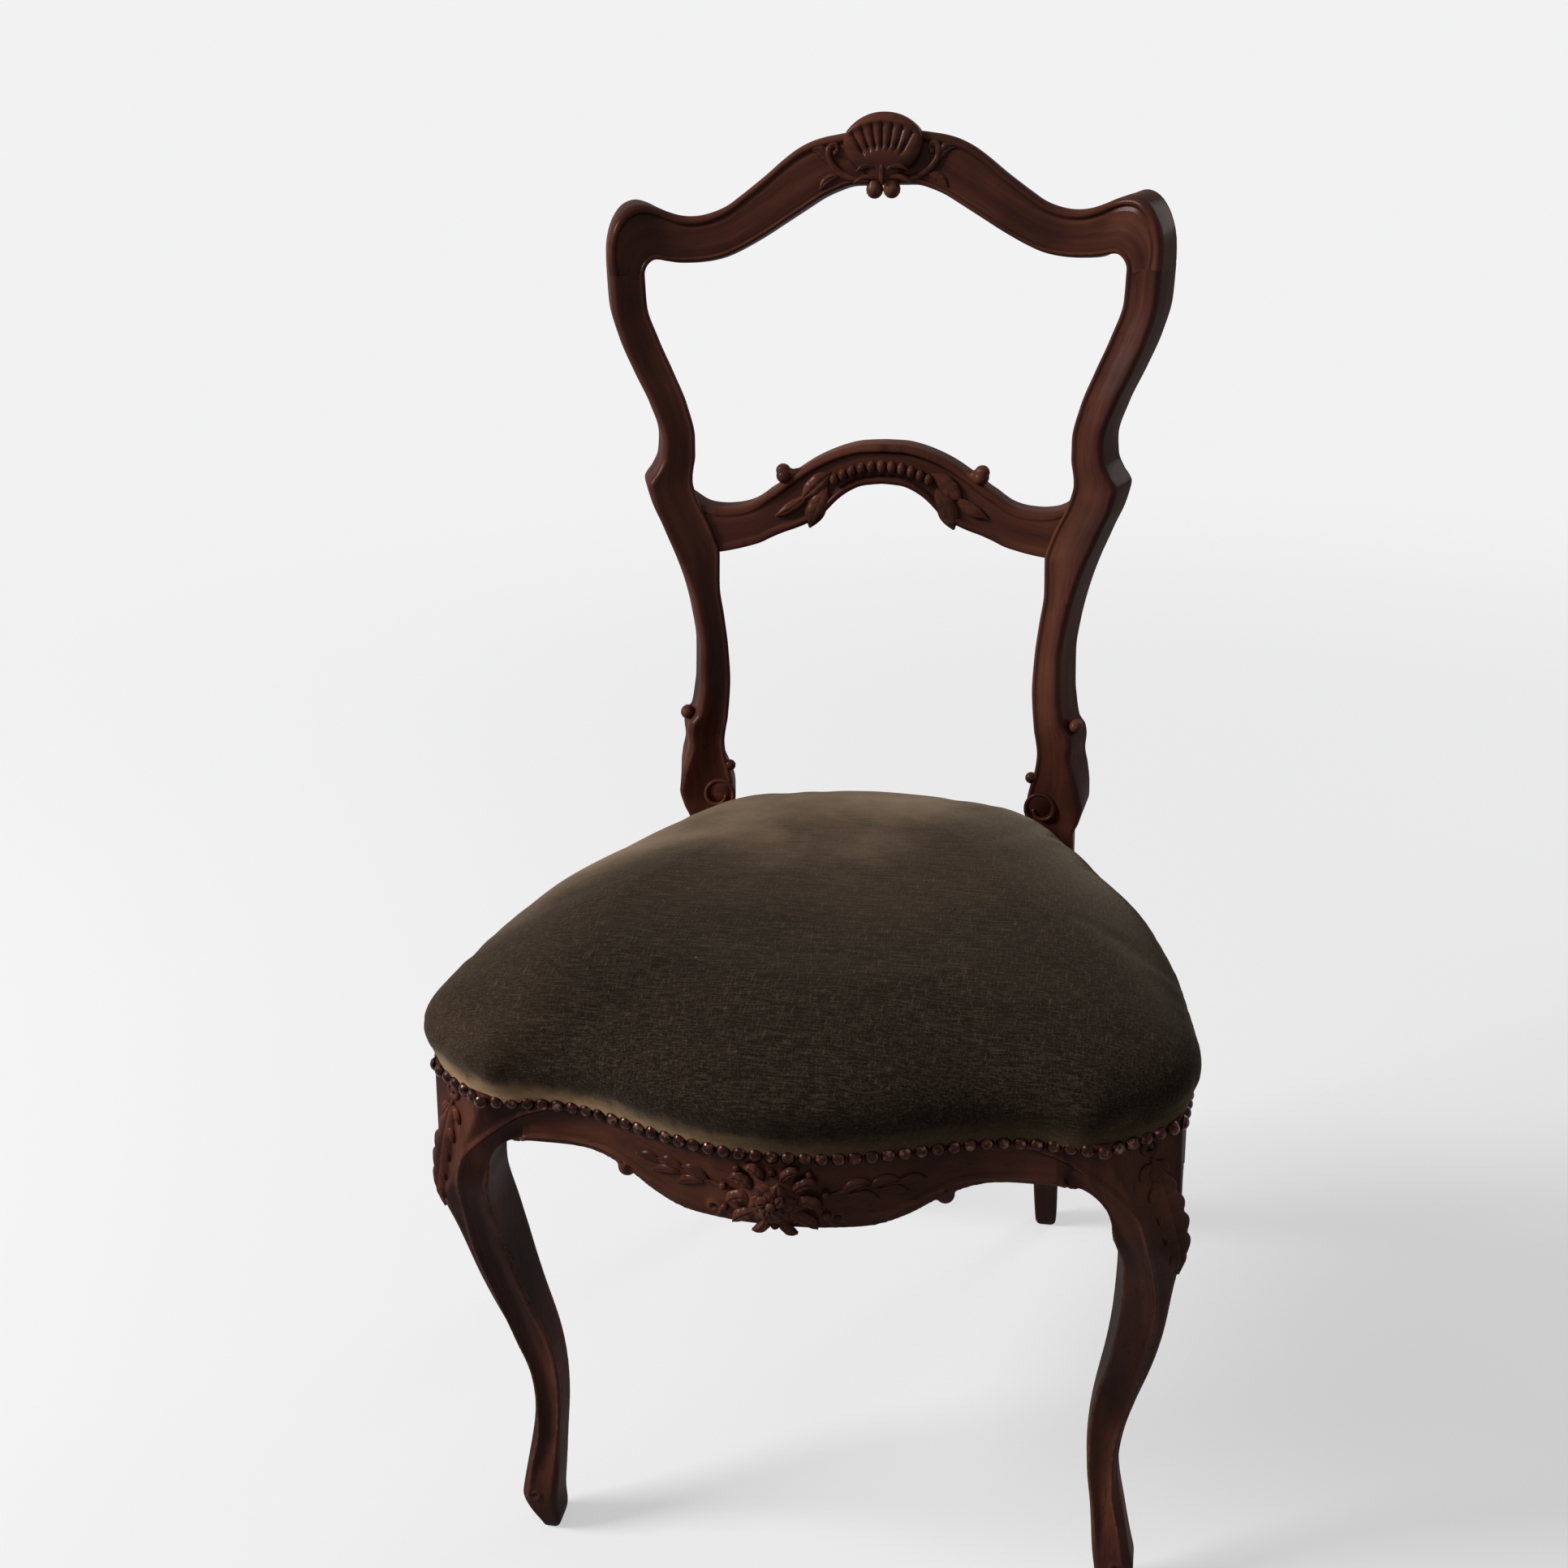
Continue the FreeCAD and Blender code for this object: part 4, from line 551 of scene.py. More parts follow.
midLook = {
    "edges": [(0, 674.8, 0, 703.6), (8, 674.2, 9, 703.3), (16, 673, 18, 702.7), (23, 670.2, 27, 700.8),
              (30, 666, 36, 698), (36, 661, 45, 694.4), (42, 655, 54, 690), (48.5, 650, 63, 684.5),
              (56, 646, 72, 678.5), (65, 642.4, 79.5, 673), (74, 639.5, 86, 669), (83, 636, 92, 664.8),
              (92, 632, 98, 661.5), (100, 629.8, 105, 659.4), (108, 628, 112, 658.5), (116, 626.6, 122, 658.4),
              (124, 625.6, 134, 661), (131, 625, 146, 669)],
    "thick": 21.0,
    "setBack": 2.0,
}

midSection = [
    (0, 0.0, 0, 2.2, 0), (0, 0.5, 0, 0.7, 0), (0, 1.4, 0, 0, -0.3), (0, 2.6, 0, 0, -0.9), (0, 3.8, 0, 0, -1.1),
    (0, 5.0, 0, 0, -0.7), (0, 6.0, 0, 0, 0.9), (0, 6.8, 0, 0, 2.0), (0.32, 1.6, 0, 0, 2.3), (0.5, 0, 0, 0, 2.3),
    (0.68, -1.6, 0, 0, 2.3), (1, -6.8, 0, 0, 2.0), (1, -6.0, 0, 0, 0.9), (1, -5.0, 0, 0, -0.7),
    (1, -3.8, 0, 0, -1.1), (1, -2.6, 0, 0, -0.9), (1, -1.4, 0, 0, -0.3), (1, -0.5, 0, 0.7, 0),
    (1, 0, 0, 2.2, 0), (1, 0, 0.5, 0, 0), (1, -0.4, 0.88, 0, 0), (1, -2, 1, 0, 0), (0.5, 0, 1, 0, 0),
    (0, 2, 1, 0, 0), (0, 0.4, 0.88, 0, 0), (0, 0, 0.5, 0, 0),
]


def midSkin():
    lines = edgeLines(midLook["edges"], 120)
    low, high = (bothSides(np.stack([x, backY(x, z) + midLook["setBack"], z], -1))
                 for x, z in (lines[:2], lines[2:]))
    inward = np.tile([0.0, 1.0, 0.0], (len(low), 1))
    # the channel flattens out towards the posts
    relief = 0.25 + 0.75 * smoothStep(np.abs(low[:, 0]), 96, 58)
    return member(low, high, inward, np.full(len(low), midLook["thick"]), relief, midSection, 80)


# Carved ornaments

def tube(points, radius, sides=14):
    # A round bar along a line, with its own radius at each point, closed by round ends.
    points = np.asarray(points, float)
    radius = np.broadcast_to(np.asarray(radius, float), len(points))
    tangent = unit(np.gradient(points, axis=0))
    side = unit(np.cross(tangent, np.array([0.03, -1.0, 0.12])))
    out = np.cross(side, tangent)
    angle = np.linspace(0, 2 * np.pi, sides, endpoint=False)
    ends = np.array([0.97, 0.8, 0.45])
    tip = np.sqrt(1 - ends**2)
    before = points[0] - tangent[0] * radius[0] * ends[:, None]
    after = points[-1] + tangent[-1] * radius[-1] * ends[::-1, None]
    line = np.concatenate([before, points, after])
    wide = np.concatenate([radius[0] * tip, radius, radius[-1] * tip[::-1]])[:, None, None]
    side, out = (np.concatenate([v[:1], v[:1], v[:1], v, v[-1:], v[-1:], v[-1:]])[:, None] for v in (side, out))
    return loopSurface(line[:, None] + wide * (side * np.cos(angle)[:, None] + out * np.sin(angle)[:, None]))


def leaf(points, width, height, lobes, cup=0.35, facing=forward):
    # A carved leaf along a line: half width = width * sin(pi * t)^0.7 * (1 + lobes), a full rounded blade with a
    # groove of depth cup down its middle. t runs from the stalk to the tip; lobes are a count and a depth.
    points = np.asarray(points, float)
    t = np.linspace(0, 1, len(points))
    tangent = unit(np.gradient(points, axis=0))
    side = unit(np.cross(tangent, unit(np.broadcast_to(np.asarray(facing, float), points.shape))))
    out = np.cross(side, tangent)
    count, depth = lobes
    reach = width * np.sin(np.pi * np.clip(t, 0.02, 0.985)) ** 0.7
    reach = reach * (1 + depth * np.abs(np.sin(np.pi * count * t)))
    a = np.array([0.08, 0.2, 0.4, 0.62, 0.82, 0.94, 1])
    a = np.concatenate([-a[::-1], [0], a, [0.6, 0, -0.6]])
    full = 0.1 + 0.9 * (1 - np.abs(a) ** 2.6) - cup * np.exp(-(a / 0.17) ** 2)
    # the last three points lie below, on the leaf's underside
    h = np.where(np.arange(len(a)) > 14, -0.8, full)
    ribs = 1 + 0.07 * np.sin(4 * np.pi * count * t[:, None] - np.abs(a) * 2.4) * (np.abs(a) > 0.1)
    rise = height * np.sin(np.pi * np.clip(t, 0.05, 0.95))[:, None] ** 0.4 * h * ribs
    wide = a * reach[:, None]
    return loopSurface(points[:, None] + side[:, None] * wide[..., None] + out[:, None] * rise[..., None])


def ball(centre, radius, squash=(1, 1, 1), rings=12, columns=20):
    # A sphere of latitude rings, stretched by squash.
    lat = np.linspace(-1.42, 1.42, rings)[:, None]
    lon = np.linspace(0, 2 * np.pi, columns, endpoint=False)[None]
    grid = np.stack(np.broadcast_arrays(np.cos(lat) * np.cos(lon), np.sin(lat), np.cos(lat) * np.sin(lon)), -1)
    return loopSurface(np.asarray(centre, float) + grid * radius * np.asarray(squash, float))


def leaves(rows, lay):
    # Each row: the leaf's line as (x, z) points, its number of rings and distance out, then what leaf takes.
    return [leaf(lay(line, count, out), *rest) for line, count, out, *rest in rows]


def onFace(face):
    # Gives a function that lays a smooth line through (x, z) points on a face and moves it out of it.
    def lay(line, count, out):
        line = spline([(x, 0, z) for x, z in line], count)
        line[:, 1] = face(line[:, 0], line[:, 2]) - out
        return line

    return lay


onBack = onFace(backY)


shellLook = {
    "middle": 899.5,
    "radius": 33.5,
    "foot": 15.5,
    "hinge": 17.0,       # from the middle down to the point where the flutes meet
    "flutes": 9,
    "spread": 1.62,
    "rise": 8.0,
    "root": 9.0,         # how deep its edge goes into the rail
}


def shellSkins():
    # A domed fan: ring r lies at r * R(angle), with the full radius above and a short foot below, and stands
    # height * (1 - r^2)^0.32 out of the rail. Flutes of the depth 2.6 * (1 - |sin(k * angle)|^0.7) spread from a
    # point below its middle, inside a broad smooth rim.
    look = shellLook
    angle = np.linspace(0, 2 * np.pi, 220, endpoint=False)
    r = np.concatenate([np.sin(np.linspace(0.03, np.pi / 2, 44)), [1.0]])[:, None]
    turn = np.abs((angle + np.pi) % (2 * np.pi) - np.pi)
    reach = r * (look["radius"] - (look["radius"] - look["foot"]) * smoothStep(turn, 0.85, 2.2))
    x, z = reach * np.sin(angle), reach * np.cos(angle)
    fan, far = np.arctan2(x, z + look["hinge"]), np.hypot(x, z + look["hinge"])
    flute = np.abs(np.sin(fan * look["flutes"] * np.pi / look["spread"])) ** 0.7
    inside = smoothStep(far, 23, 29) * smoothStep(far, 45, 41) * smoothStep(np.abs(fan), 0.72, 0.52)
    rim = 1.3 * np.exp(-((far - 46) / 2.6) ** 2) * smoothStep(np.abs(fan), 1.05, 0.8)
    height = look["rise"] + rim - 2.6 * (1 - flute) * inside - 1.4 * inside
    rise = height * np.maximum(1 - r**2, 0) ** 0.32
    rise[-1] = -look["root"]
    middle = np.array([0, backY(0, look["middle"]) - 1.0, look["middle"]])
    up = unit(np.array([0, 0.1, 1.0]))
    ways = np.stack([rightward, up, np.cross(rightward, up)])
    return [loopSurface(middle + np.stack([x, z, rise], -1) @ ways)]


crestLeaves = [
    # a curled leaf by the top edge, and a small one below it
    ([(37, 898), (42, 904.5), (47, 908), (53, 908.5)], 30, -0.9, 4.4, 2.4, (2, 0.12), 0.3),
    ([(32, 890.5), (37, 889.5), (42, 886.5), (46, 881.5)], 24, -0.4, 3.0, 1.9, (2, 0.1), 0.3),
    # leaves of the bow under the flutes
    ([(2, 894), (7, 896.6), (13, 896.8), (19, 893.8)], 26, 6.6, 2.5, 2.4, (1, 0), 0.1),
    ([(2.4, 888.2), (8, 889.6), (14, 889), (21, 886)], 26, 4.8, 2.2, 2.2, (1, 0), 0.1),
]


def crestCarving():
    # C-scroll beside the shell: a bar that curls in at its top
    sweep = onBack([(9, 886), (18, 887), (27, 890), (34.5, 895), (39, 901.5), (39.5, 908), (36, 911.3),
                    (33, 908.6), (34.8, 905.6)], 46, -0.9)
    half = [tube(sweep, np.interp(np.linspace(0, 1, 46), [0, 0.3, 0.75, 1], [1.4, 2.7, 3.0, 1.8]))]
    half.append(ball(sweep[-1], 2.4))
    half += leaves(crestLeaves, onBack)
    # a drop on each side that hangs below the edge
    drop = onBack([(4.6, 891), (5.7, 886), (6.2, 880.6)], 22, 0.0)
    half.append(tube(drop, np.interp(np.linspace(0, 1, 22), [0, 0.5, 1], [3.6, 5.4, 6.3])))
    knot = [([(0, 885), (0, 890), (0, 896), (0, 901)], 24, 7.0, 2.2, 2.6, (1, 0.1), 0.1)]
    return half + mirrorParts(half) + shellSkins() + leaves(knot, onBack)


midLeaves = [
    # a husk closes the row of beads and runs down the rail to a pointed tip below its edge
    ([(38, 683.5), (45, 678), (52, 671.5), (60, 664.5)], 30, -2.2, 6.6, 3.4, (2, 0.12), 0.25),
    ([(41, 673), (46, 664), (50.5, 654), (54.4, 643.2)], 30, -3.0, 7.4, 3.6, (2, 0.1), 0.1),
    ([(56, 667), (63, 661), (71, 656), (80, 652)], 28, -2.4, 4.6, 2.6, (1, 0.05), 0.15),
]


def midCarving():
    beads = []
    for x in (0.0, 7.6, 15.0, 22.2, 29.0, 35.4):
        z = 688.4 - 0.0074 * x * x
        spot = (x, backY(x, z) + midLook["setBack"] - 1.6, z)
        beads.append(ball(spot, 4.3 - 0.012 * x, (0.86, 1, 1.12)))
    half = beads[1:] + leaves(midLeaves, onBack)
    # curled knobs on the upper edge
    knob = onBack([(62, 684), (67, 681.8), (71.5, 682), (74.6, 684.2)], 26, -5.5)
    half.append(tube(knob, np.interp(np.linspace(0, 1, 26), [0, 0.5, 1], [2.5, 4.6, 5.6])))
    half.append(ball((73.6, backY(73, 680) + 5.0, 681.0), 6.2, (1, 1.2, 0.95), 16, 26))
    return half + mirrorParts(half) + beads[:1]


def postCarving():
    parts = [ball((148.9, 177, 505.4), 5.3, (1, 1.3, 1)), ball((116.6, backY(117, 463) + 2.4, 463.4), 4.4)]
    # the volute's button and the roll that winds round it
    parts.append(ball((125.6, backY(125, 442) + 2.4, 442.0), 11.8, (1, 0.36, 1), 16, 36))
    wound = curl((125.6, 0, 442.0), 12.6, 0.5, 1.1, rightward, upward, 70, 3.9)
    wound[:, 1] = backY(wound[:, 0], wound[:, 2]) - 0.2 - 2.4 * np.linspace(0, 1, 70)
    parts.append(tube(wound, np.linspace(2.0, 1.2, 70)))
    return parts


# Legs and front rail: the CAD solids, softened and carved

def frontFrame():
    # The front legs and the rail between them as one skin of small even quads, so that their faces run on over the
    # joints. Each round moves every point half way to its neighbours' mean. The points of the quads that hold the
    # cut are then put on it. Also gives each point's column of quads, counted from the cut outwards.
    shape = bmesh.new()
    for node in ("front_seat_rail", "right_front_leg", "left_front_leg"):
        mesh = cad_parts[node].data.copy()
        mesh.transform(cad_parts[node].matrix_world)
        first = len(shape.verts)
        shape.from_mesh(mesh)
        shape.verts.ensure_lookup_table()
        longer = legLook["overlap"] * 0.001 if node == "front_seat_rail" else 0.0
        for point in shape.verts[first:]:
            if abs(abs(point.co.x) - legLook["joint"] * 0.001) < 0.0003:
                point.co.x += math.copysign(longer, point.co.x)
        bpy.data.meshes.remove(mesh)
    mesh = bpy.data.meshes.new("frontFrame")
    shape.to_mesh(mesh)
    shape.free()
    holder = addObject("holder", mesh)
    remeshVoxels(holder, legLook["voxel"])
    mesh = holder.data
    verts = read(mesh.vertices, "co") * 1000 - shift
    quads = read(mesh.loops, "vertex_index", int, 1).reshape(-1, 4)
    bpy.data.objects.remove(holder)
    bpy.data.meshes.remove(mesh)
    column = np.floor(np.abs(verts[:, 0]) / legLook["voxel"]).astype(int) - cutColumn
    edges = quadEdges(quads)
    for _ in range(legLook["rounds"]):
        verts = 0.5 * verts + 0.5 * neighbourMean(verts, edges)
    verts[column == 0, 0] = np.sign(verts[column == 0, 0]) * cutX
    flip = np.where(verts[:, :1] < 0, mirror, [1.0, 1.0, 1.0])
    verts = np.where((column > 0)[:, None], legTurn(verts * flip) * flip, verts)
    normals = pointNormals(verts, quads)
    onLeg, onRail = carve(verts * flip, normals * flip, legStrokes()), carve(verts, normals, apronStrokes())
    return verts + normals * np.where(column > 0, onLeg, onRail)[:, None], quads, column


def cutOff(keep):
    # The front frame's skin of the kept points, closed by a fan over each rim at the cut. Every quad here is kept
    # whole or not at all.
    verts, quads = frontSkin[:2]
    used, quads = np.unique(quads[keep[quads].all(1)], return_inverse=True)
    quads = quads.reshape(-1, 4)
    verts = verts[used]
    edges = quadEdges(quads)
    rim = edges[~np.isin(edges[:, 0] * len(verts) + edges[:, 1], edges[:, 1] * len(verts) + edges[:, 0])]
    tris = []
    for side in (-1, 1):
        part = rim[verts[rim[:, 0], 0] * side > 0]
        if len(part):
            tris.append(np.stack([part[:, 1], part[:, 0], np.full(len(part), len(verts))], -1))
            verts = np.concatenate([verts, verts[part[:, 0]].mean(0)[None]])
    return verts, quads, np.concatenate(tris)


def pointNormals(verts, quads):
    face = np.cross(verts[quads[:, 2]] - verts[quads[:, 0]], verts[quads[:, 3]] - verts[quads[:, 1]])
    total = np.zeros_like(verts)
    for k in range(4):
        for axis in range(3):
            total[:, axis] += np.bincount(quads[:, k], face[:, axis], minlength=len(verts))
    return unit(total)


def farFrom(verts, line, weight):
    # Distance from each point to the nearest piece of a line, with each axis counted by its weight, and how far
    # along the line that place lies (0 to 1).
    p = verts * weight
    q = line * weight
    best = np.full(len(p), 1e9)
    along = np.zeros(len(p))
    total = len(q) - 1
    for i in range(total):
        d = q[i + 1] - q[i]
        t = np.clip(((p - q[i]) @ d) / max(d @ d, 1e-9), 0, 1)
        dist = np.linalg.norm(p - q[i] - t[:, None] * d, axis=1)
        closer = dist < best
        best[closer] = dist[closer]
        along[closer] = (i + t[closer]) / total
    return best, along


def carve(verts, normals, strokes):
    # Moves points along their normals: a stroke adds height * exp(-(d / width)^2) near its line, less at its ends.
    lift = np.zeros(len(verts))
    for line, width, height, facing, weight in strokes:
        low, high = (line.min(0) - 3.5 * width) * weight, (line.max(0) + 3.5 * width) * weight
        inside = np.all((verts * weight >= low) & (verts * weight <= high), axis=1)
        chosen = np.flatnonzero(inside & (normals @ unit(np.asarray(facing, float)) > 0.35))
        if len(chosen):
            d, along = farFrom(verts[chosen], line, weight)
            fade = np.clip(np.minimum(along, 1 - along) * 14, 0.15, 1)
            lift[chosen] += height * np.exp(-(d / width) ** 2) * fade
    return lift


frontOnly, allAxes = np.array([1.0, 0.0, 1.0]), np.array([1.0, 1.0, 1.0])


legLook = {
    # lines on the right leg (mm): the two fillets of the front face, the hollow between them, the foliage's stem
    "outer": [(112, -206, 396.5), (132, -206, 398.6), (150, -206, 398.4), (152.6, -206, 397.4),
              (167.6, -206, 391.7), (185, -206, 379), (200, -205, 366), (211, -203, 352.8), (217, -199, 334.6),
              (220.5, -192, 311.7), (224.6, -176, 268), (223, -167.5, 236), (211.2, -155.5, 166.3),
              (202, -155, 129), (201.5, -159, 88), (207, -166, 59.5), (211, -170.6, 34)],
    "inner": [(169.8, -205, 372.3), (188.5, -203.5, 355.6), (198, -200, 335), (202.5, -194, 318),
              (205.5, -175.3, 268), (199.5, -161.8, 209), (188.6, -154.3, 156), (186.6, -156.4, 112.3),
              (190.5, -163.4, 71), (194, -170, 38)],
    "hollow": [(112, -206, 388), (140, -205, 387.5), (163, -205, 384), (180, -204, 371), (193, -203, 354),
               (203, -199, 333), (210, -192, 309), (214.5, -176, 268), (212.5, -167, 236), (203, -156, 166.3),
               (195, -155, 129), (194, -159, 88), (198, -166, 59.5), (201, -170.6, 40)],
    "stem": [(216, -190, 393), (221, -188, 377), (225, -185, 359), (228, -182, 341), (229.5, -178, 321),
             (229.5, -174, 299)],
    # height and how far the inner arris stands out of square, mm
    "arris": [(0, 0), (60, 1.5), (112, 1.5), (156, 0.5), (209, 4), (262, 7.5), (300, 6), (330, 1.5), (345, 0),
              (405, 0)],
    # height, centre x, centre y and side of the leg's section
    "centre": [(0, 205, -155, 26), (34, 204, -157, 27.2), (59.5, 200, -153.5, 25), (88.4, 196, -148, 22.3),
               (110.5, 194, -145.5, 22), (149.6, 198, -141, 25.2), (190.4, 206.7, -143.4, 29.6),
               (229.5, 213, -149.3, 33), (268.6, 216, -158, 35.2), (299, 218, -167.5, 37.5),
               (340, 217.5, -177, 38.5), (405, 217.5, -177, 38.5)],
    "voxel": 1.05,
    "joint": 165.0,
    "overlap": 4.0,             # of the rail into the leg before they are joined
    "cut": 163.5,
    "rounds": 4,
}
cutColumn = int(legLook["cut"] / legLook["voxel"])     # the quads are counted in columns along x
cutX = (cutColumn + 0.5) * legLook["voxel"]


def fillets():
    # The two raised fillets of the front face run up each leg, over the knee and on into the rail; a hollow lies
    # between them. The inner one follows the rail's lower edge to the flower.
    edge = [(x, -206, z + 5.4) for x, z in apronLook["edge"][3:13]]
    rows = [(legLook["outer"], 120, 1.7, 2.5), (edge + legLook["inner"], 150, 1.6, 2.3)]
    rows.append((legLook["hollow"], 120, 5.0, -1.5))
    return [(spline(keys, count), *sizes, (0.1, -1, 0), frontOnly) for keys, count, *sizes in rows]


def legStrokes():
    toe = curl((206.5, -171.5, 36), 6.0, 0.8, 1.3, rightward, upward, 30)
    return fillets() + [(toe, 1.5, 1.9, forward, allAxes)]


def kneeLeaves(verts, quads):
    # One lobed leaf hangs down the canted outer face of the block and knee, with small leaves out to both sides of
    # it, under a scroll. All are laid on the leg's own surface.
    tree = BVHTree.FromPolygons(verts.tolist(), quads.tolist())
    facing = unit(np.array([0.62, -0.78, 0.0]))
    across = np.array([0.78, 0.62, 0])

    def laid(points, out):
        hits = [tree.ray_cast(Vector(p + facing * 40), Vector(-facing))[0] for p in points]
        return np.array([p if hit is None else np.array(hit) + facing * out for p, hit in zip(points, hits)])

    stem = spline(legLook["stem"], 60)
    parts = [leaf(laid(stem[4:], 0.3), 8.6, 3.4, (6, 0.35), 0.4, facing)]
    for k in range(5):
        p = stem[6 + 10 * k]
        reach = 10.5 - 1.1 * k
        for side in (-across, across):
            keys = [p + side * 2, p + side * reach * 0.6 - upward * 3.0, p + side * reach - upward * 9.5]
            parts.append(leaf(laid(spline(keys, 16), 0.6), 2.9 - 0.2 * k, 2.4, (1, 0.1), 0.2, facing))
    scroll = curl(stem[0] + upward * 1.5, 7.0, 0.75, 1.25, across, upward * 0.8, 34)
    parts.append(tube(laid(scroll, 0.4), 1.9))
    return parts


def legTurn(p):
    # Draws the inner arris outwards in plan, by a bilinear share of each section, and cuts the toe back to the
    # sole.
    x, y, z = p.T
    heights, *centre = np.array(legLook["centre"]).T
    cx, cy, side = (np.interp(z, heights, values) for values in centre)
    u = np.clip((x - cx) / side * 2, -1, 1)
    v = np.clip((y - cy) / side * 2, -1, 1)
    x = x + np.interp(z, *np.array(legLook["arris"]).T) * (1 - u) / 2 * (1 - v) / 2
    return np.stack([x - 8.0 * smoothStep(z, 34, 2) * (1 + u) / 2, y, z], -1)


def frontLeg(side):
    skin, _, column = frontSkin
    verts, quads, tris = cutOff((column >= 0) & (skin[:, 0] * side > 0))
    foliage = kneeLeaves(verts * np.array([side, 1.0, 1.0]), quads)
    return [(verts, quads, tris, verts[:, [2, 0, 1]])] + (foliage if side > 0 else mirrorParts(foliage))


apronLook = {
    # lower edge of the rail, x and z
    "edge": [(0, 350), (20, 351), (36, 350.5), (47, 350), (65, 353.3), (74, 357.3), (83, 360.3), (92, 364.9),
             (101, 368.3), (110, 370.3), (124, 371), (140, 371), (158, 370.5), (170, 367.5), (178, 362),
             (188, 351)],
    # petals of the flower: count, reach, distance out of the face, half width
    "petals": [(6, 14.5, 6.2, 5.4), (5, 9.5, 8.6, 4.2)],
    "balls": [(31, 376, 2.6), (31, 360.5, 2.6), (22, 390, 2.2), (0, 390, 2.6), (0, 352.5, 2.8)],
}

apronLeaves = [(line, 24, out, width, 3.4, (2, 0.18), 0.25) for line, width, out in (
    ([(12, 378), (17, 383), (22, 385), (27, 383.5)], 4.0, 2.6),
    ([(13, 370), (19, 372), (24, 370.5), (29, 366)], 4.4, 2.8),
    ([(10, 363), (16, 360.5), (21, 357.5), (26, 352.5)], 4.2, 2.6),
    ([(5, 385), (8, 389.5), (12, 392.5), (17, 392.6)], 3.2, 2.2),
    ([(4, 359), (6, 353.5), (9.5, 350), (14, 348.5)], 3.4, 2.6),
)]
# sprigs that run out along the rail
apronSprigs = [(line, 20, 0.3, width, 2.3, (1, 0.1), 0.2) for line, width in (
    ([(40, 377), (46, 381), (52, 383), (58, 382)], 3.3),
    ([(44, 375), (51, 374.5), (57, 372.5), (62, 369.5)], 3.3),
    ([(56, 380), (62, 383), (68, 384), (74, 382.5)], 3.1),
    ([(60, 377.5), (67, 377), (73, 375.5), (79, 373)], 3.1),
    ([(72, 381), (78, 382.5), (84, 382.5), (89, 381)], 2.7),
)]


def apronStrokes():
    lines = [stroke[:3] for stroke in fillets()]
    # the lower fillet ends in a curl beside the flower, and a small bump lies where the arch begins
    lines.append((curl((38, 0, 358.5), 5.5, 0.75, 1.2, rightward, upward, 26, np.pi), 1.5, 2.0))
    lines.append((spline([(96, 0, 372), (99, 0, 368), (103, 0, 372)], 8), 2.2, 1.6))
    return [(line * flip, *sizes, forward, frontOnly) for line, *sizes in lines for flip in (1.0, mirror)]


def apronY(x, z=None):
    # The rail's upright front face in plan: a bow of radius 204, a straight run at 20 degrees and a hollow of
    # radius 100.
    x = np.abs(np.asarray(x, float))
    bow = -238 + 204 - np.sqrt(np.maximum(204**2 - np.clip(x, 0, 69.8) ** 2, 0))
    run = np.clip(x - 69.8, 0, 42.3) * math.tan(math.radians(20))
    hollow = 6.03 - 100 + np.sqrt(np.maximum(100**2 - (34.2 - np.clip(x - 112.1, 0, 34.2)) ** 2, 0))
    return bow + run + np.where(x > 112.1, hollow, 0)


onApron = onFace(apronY)


def apronCarving():
    # A flower of lapped petals on the middle of the rail, with leaves that spread to both sides of it.
    middle = np.array([0.0, 372.0])
    parts = []
    for ring, (count, reach, out, width) in enumerate(apronLook["petals"]):
        for k in range(count):
            a = 2 * np.pi * (k + 0.25 + 0.5 * ring) / count + rng.uniform(-0.12, 0.12)
            way = np.array([np.sin(a), np.cos(a)]) * reach
            turn = np.array([np.cos(a), -np.sin(a)]) * 1.4
            keys = middle + np.array([way * 2 / reach, way * 0.45 + turn, way * 0.75 + turn * 0.5, way])
            parts.append(leaf(onApron(keys, 22, out), width, 3.0, (1, 0.08), 0.3))
    parts.append(ball((0.0, apronY(0) - 10.4, 372.0), 3.2, (1, 0.9, 1), 10, 14))
    half = leaves(apronLeaves, onApron)
    half += [ball((x, apronY(x) - 1.6, z), radius) for x, z, radius in apronLook["balls"]]
    half += leaves(apronSprigs, onApron)
    half.append(tube(onApron([(30, 374), (48, 378.5), (66, 380.5), (84, 380)], 40, 0.3), 1.2))
    return parts + half + mirrorParts(half)


def frontRail():
    verts, quads, tris = cutOff(frontSkin[2] <= 0)
    return [(verts, quads, tris, verts)]


frontSkin = frontFrame()


# Upholstery

